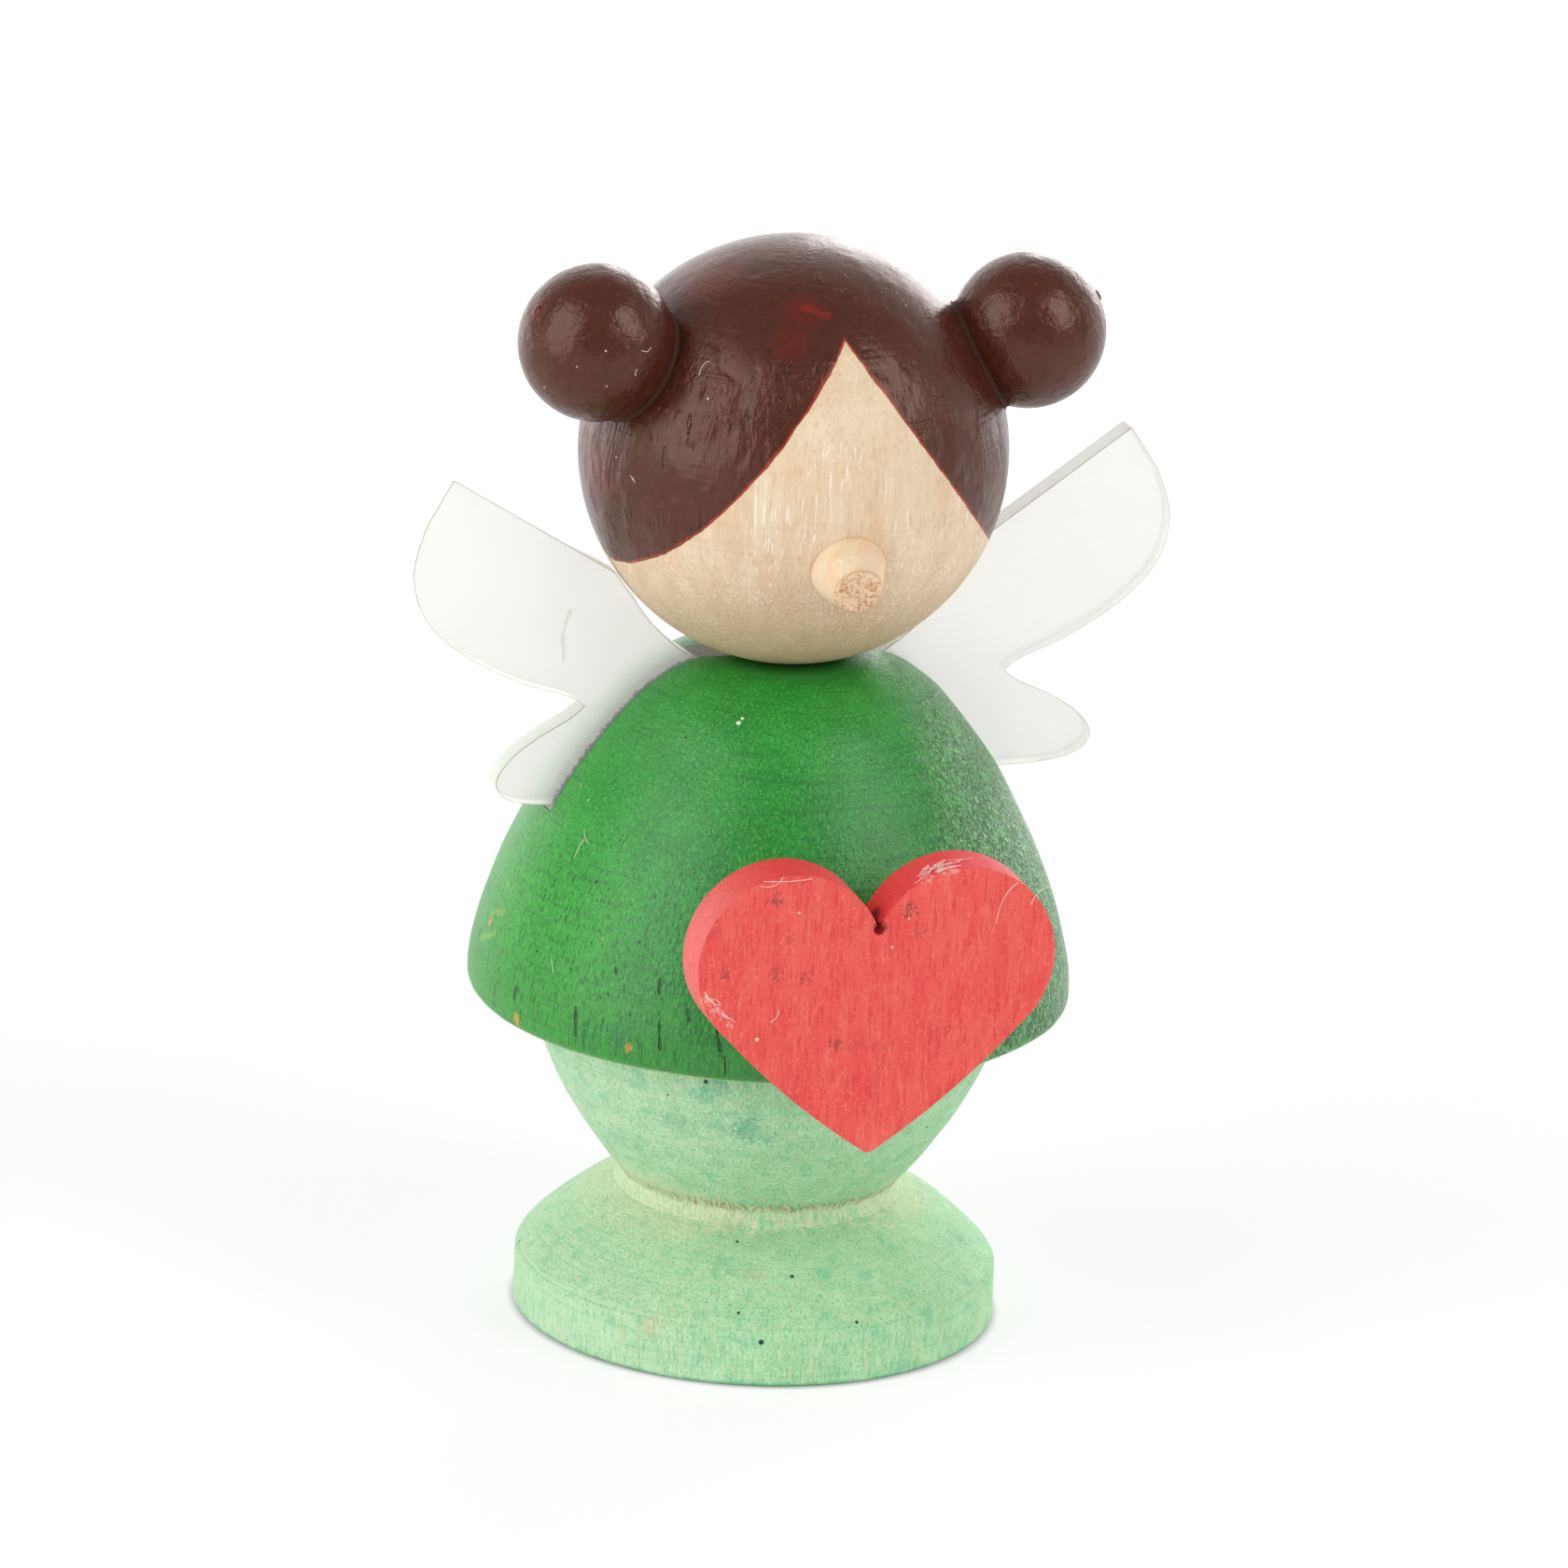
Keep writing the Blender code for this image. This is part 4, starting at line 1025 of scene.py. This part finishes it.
# Loose fibres: fine wood hairs and lint that cling where the wood is rough. Single ones have set places on
# the heart, the hair, a bun and the dress. Two tangles on the heart's edges are scattered by a fixed seed.
FIBRE_THICKNESS = 0.032 * MM
FIBRE_SEED = 7
HEART_FIBRES = ((6.9, 29.0, 2.5, 66), (-5.1, 30.85, 2.6, 2), (-6.0, 30.8, 1.3, 20), (-5.5, 23.4, 0.8, 60),
                (8.9, 29.3, 1.6, 35))
HEART_TANGLE = ((2.0, -17.9, 24), (5.0, -19.2, 24))
EDGE_TANGLE = ((-9.55, 25.1), (-7.5, 22.9), 11)
FIBRE_FIGURES = (("out", "FLOAT_VECTOR"), ("length", "FLOAT"), ("turn", "FLOAT"))
HEAD_FIBRES = ((-9.7, -3.1, 53.8, 1.0, 60), (-7.1, -6.5, 54.9, 0.9, 20), (-10.3, -5.1, 48.6, 0.5, 80))
BUN_FIBRES = ((-10.29, -6.48, 56.01, 0.6, 30), (-10.79, -6.66, 54.81, 0.4, 100))
DRESS_FIBRES = ((-11.9, -5.3, 28.9, 1.3, 80), (-12.4, -5.2, 28.3, 1.1, 10), (-14.1, -7.0, 22.4, 0.8, 60),
                (-11.7, -2.5, 30.8, 0.6, 30), (6.2, 11.0, 28.6, 1.2, 0))


def fibre_tree():
    """Puts one fine hair on each given point, each with its own turn and length, and bent by chance."""
    inputs = (("Places", "Geometry"), ("Thickness", "Float"), ("Seed", "Int"), ("Finish", "Material"))
    tree, given = begin_tree("loose fibres", inputs)
    hair = add_node(tree, "GeometryNodeCurveQuadraticBezier", {}, {
        "Resolution": 8, "Start": (-0.5, 0.0, 0.0), "Middle": (0.1, 0.5, 0.04), "End": (0.5, 0.0, 0.06)})
    out, length, spin = (
        add_node(tree, "GeometryNodeInputNamedAttribute", {"data_type": kind}, {"Name": name})
        for name, kind in FIBRE_FIGURES)
    bend = add_node(tree, "FunctionNodeRandomValue", {}, {2: -1.0, 3: 1.0, "Seed": given["Seed"]}, 1)
    size = add_node(tree, "ShaderNodeCombineXYZ", {}, {0: length, 1: length * bend, 2: length})
    upright = add_node(tree, "FunctionNodeAlignRotationToVector", {"axis": "Z"}, {"Vector": out})
    about = add_node(tree, "ShaderNodeCombineXYZ", {}, {2: spin})
    turned = add_node(tree, "FunctionNodeRotateRotation", {"rotation_space": "LOCAL"},
                      {"Rotation": upright, "Rotate By": about})
    placed = add_node(tree, "GeometryNodeInstanceOnPoints", {}, {
        "Points": given["Places"], "Instance": hair, "Rotation": turned, "Scale": size})
    real = add_node(tree, "GeometryNodeRealizeInstances", {}, {0: placed})
    inputs = {"Resolution": 5, "Radius": given["Thickness"] * 0.5}
    ring = add_node(tree, "GeometryNodeCurvePrimitiveCircle", {}, inputs)
    inputs = {"Curve": real, "Profile Curve": ring, "Fill Caps": True}
    solid = add_node(tree, "GeometryNodeCurveToMesh", {}, inputs)
    return end_tree(tree, solid, given["Finish"])


def fibre_places():
    """Where each fibre lies, which way the wood faces there, the fibre's length, and its turn in degrees."""
    chance = random.Random(FIBRE_SEED)
    face = Vector((0.0, -1.0, 0.0))
    places = [(Vector((x, heart_front / MM, z)), face, length, spin) for x, z, length, spin in HEART_FIBRES]
    (left, back, count), (right, front, _) = HEART_TANGLE
    lobe_z = (heart_low + HEART_HEIGHT - HEART_LOBE_RADIUS) / MM
    for _ in range(count):
        x, y = chance.triangular(left, right, 3.3), chance.uniform(back, front)
        away = x - HEART_LOBE_OFFSET / MM
        rise = math.sqrt((HEART_LOBE_RADIUS / MM) ** 2 - away ** 2)
        out = Vector((away, 0.0, rise)).normalized()
        places.append((Vector((x, y, lobe_z + rise)), out, chance.uniform(0.4, 1.5), chance.uniform(-30, 60)))
    start, end, count = EDGE_TANGLE
    for _ in range(count):
        x, z = Vector(start).lerp(Vector(end), chance.random())
        length, spin = chance.uniform(0.3, 0.9), chance.uniform(-70, -20)
        places.append((Vector((x, heart_front / MM, z)), face, length, spin))
    balls = ((head_centre, HEAD_RADIUS, HEAD_FIBRES), (bun_centres["left"], BUN_RADIUS, BUN_FIBRES))
    for centre, radius, marks in balls:
        for x, y, z, length, spin in marks:
            out = (Vector((x, y, z)) - centre / MM).normalized()
            places.append((centre / MM + out * radius / MM, out, length, spin))
    for x, y, z, length, spin in DRESS_FIBRES:
        places.append((Vector((x, y, z)), Vector((x, y, 6.0)).normalized(), length, spin))
    return places


def loose_fibres():
    """A point for each fibre, with its figures as attributes, and the tree run on them."""
    finish = Finish("lint", 0.8)
    finish.fix({"Base Color": dye(240, 222, 212)})
    places = fibre_places()
    points = bpy.data.meshes.new("loose_fibres")
    points.from_pydata([place * MM for place, _, _, _ in places], [], [])
    for name, kind in FIBRE_FIGURES:
        points.attributes.new(name, kind, "POINT")
    for number, (_, out, length, spin) in enumerate(places):
        points.attributes["out"].data[number].vector = out
        points.attributes["length"].data[number].value = length * MM
        points.attributes["turn"].data[number].value = math.radians(spin)
    item = add_piece("loose_fibres", points)
    run_tree(item, fibre_tree(), {"Thickness": FIBRE_THICKNESS, "Seed": FIBRE_SEED,
                                  "Finish": finish.material})
    face_outwards(item)
    return item


fibres = loose_fibres()
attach(fibres, "root")

# Floor, light and camera: a white studio sweep, a soft box on each side and one behind on the right, and a
# long lens that looks down from the front left.
FLOOR_SIZE = 6.0
CAMERA_PLACE = Vector((-0.1378, -0.4482, 0.1774))
CAMERA_TURN = math.radians(-17.134)
CAMERA_RISE = math.radians(17.478)
CAMERA_ROLL = math.radians(2.785)
LENS = 209.4
LAMP_AIM = Vector((0.0, 0.0, 35 * MM))
LAMP_DISTANCE = 0.9
FLOOR_GLOW = 1.6
SOFT_BOXES = (("soft_box_right", 42, 36, 3.45, 0.5, 0.7), ("soft_box_left", -76, 26, 2.6, 0.75, 1.0),
              ("soft_box_behind", 142, 14, 3.2, 0.6, 0.4))


def grey(value):
    """An even grey, as the linear values of a shader."""
    return (value, value, value, 1.0)


def white_floor():
    """A wide pale floor, brighter well behind the figure as a studio sweep is, with a painted contact shadow
    round the foot.
    """
    shape = bmesh.new()
    bmesh.ops.create_grid(shape, x_segments=1, y_segments=1, size=FLOOR_SIZE / 2)
    floor = add_piece("floor", mesh_of("floor", shape))
    finish = Finish("white_floor", 0.9)
    finish.fix({"Base Color": grey(0.35), "Specular IOR Level": 0.0, "Emission Strength": FLOOR_GLOW})
    glow = finish.blend(finish.y.above(60.0, 400.0), grey(0.41), grey(1.0))
    from_foot = (finish.x ** 2 + finish.y ** 2) ** 0.5 - FOOT_RADIUS / MM
    # Painted contact shadow: a dim ring in the floor's glow round the foot.
    glow = finish.blend(from_foot.above(-0.3, 0.5), grey(0.12), glow)
    finish.tree.links.new(glow.source, finish.shader.inputs["Emission Color"])
    floor.data.materials.append(finish.material)


def soft_box(name, turn_degrees, rise_degrees, brightness, width, height):
    """A rectangular soft box that faces the middle of the figure, as bright as so many white walls."""
    lamp = bpy.data.lights.new(name, "AREA")
    lamp.shape = "RECTANGLE"
    lamp.size = width
    lamp.size_y = height
    lamp.energy = brightness * math.pi * width * height
    lamp_object = bpy.data.objects.new(name, lamp)
    bpy.context.scene.collection.objects.link(lamp_object)
    turn_angle, rise = math.radians(turn_degrees), math.radians(rise_degrees)
    level = Vector((math.sin(turn_angle), -math.cos(turn_angle), 0.0))
    away = level * math.cos(rise) + Vector((0.0, 0.0, math.sin(rise)))
    turned = away.to_track_quat("Z", "Y").to_matrix().to_4x4()
    lamp_object.matrix_world = Matrix.Translation(LAMP_AIM + away * LAMP_DISTANCE) @ turned


def studio_world():
    """White all round for the camera. As a light it is dimmer in front and above, where the room lies."""
    world = bpy.data.worlds.new("studio")
    bpy.context.scene.world = world
    world.use_nodes = True
    tree = world.node_tree
    tree.nodes.clear()
    way = add_node(tree, "ShaderNodeTexCoord", {}, {}, "Generated")
    side, depth, height = split(tree, way)
    inputs = {"Value": depth + side * 0.4 - height * 0.75, "From Min": -0.4, "From Max": 0.9,
              "To Min": 0.34, "To Max": 1.45}
    strength = add_node(tree, "ShaderNodeMapRange", {"interpolation_type": "SMOOTHSTEP"}, inputs)
    seen = add_node(tree, "ShaderNodeLightPath", {}, {}, "Is Camera Ray")
    strength = strength.maths("MAXIMUM", strength, seen * 1.05)
    light = add_node(tree, "ShaderNodeBackground", {}, {"Color": grey(1.0), "Strength": strength})
    output = tree.nodes.new("ShaderNodeOutputWorld")
    tree.links.new(light.source, output.inputs["Surface"])


white_floor()
studio_world()
for soft_box_values in SOFT_BOXES:
    soft_box(*soft_box_values)

camera = bpy.data.objects.new("camera", bpy.data.cameras.new("camera"))
bpy.context.scene.collection.objects.link(camera)
camera.data.lens = LENS
camera.data.clip_end = 10.0
right = Vector((math.cos(CAMERA_TURN), math.sin(CAMERA_TURN), 0.0))
back = Vector((math.sin(CAMERA_TURN) * math.cos(CAMERA_RISE), -math.cos(CAMERA_TURN) * math.cos(CAMERA_RISE),
               math.sin(CAMERA_RISE)))
up = back.cross(right)
rolled_right = right * math.cos(CAMERA_ROLL) + up * math.sin(CAMERA_ROLL)
rolled_up = up * math.cos(CAMERA_ROLL) - right * math.sin(CAMERA_ROLL)
axes = Matrix((rolled_right, rolled_up, back)).transposed().to_4x4()
camera.matrix_world = Matrix.Translation(CAMERA_PLACE) @ axes
bpy.context.scene.camera = camera
bpy.context.scene.view_settings.view_transform = "Standard"
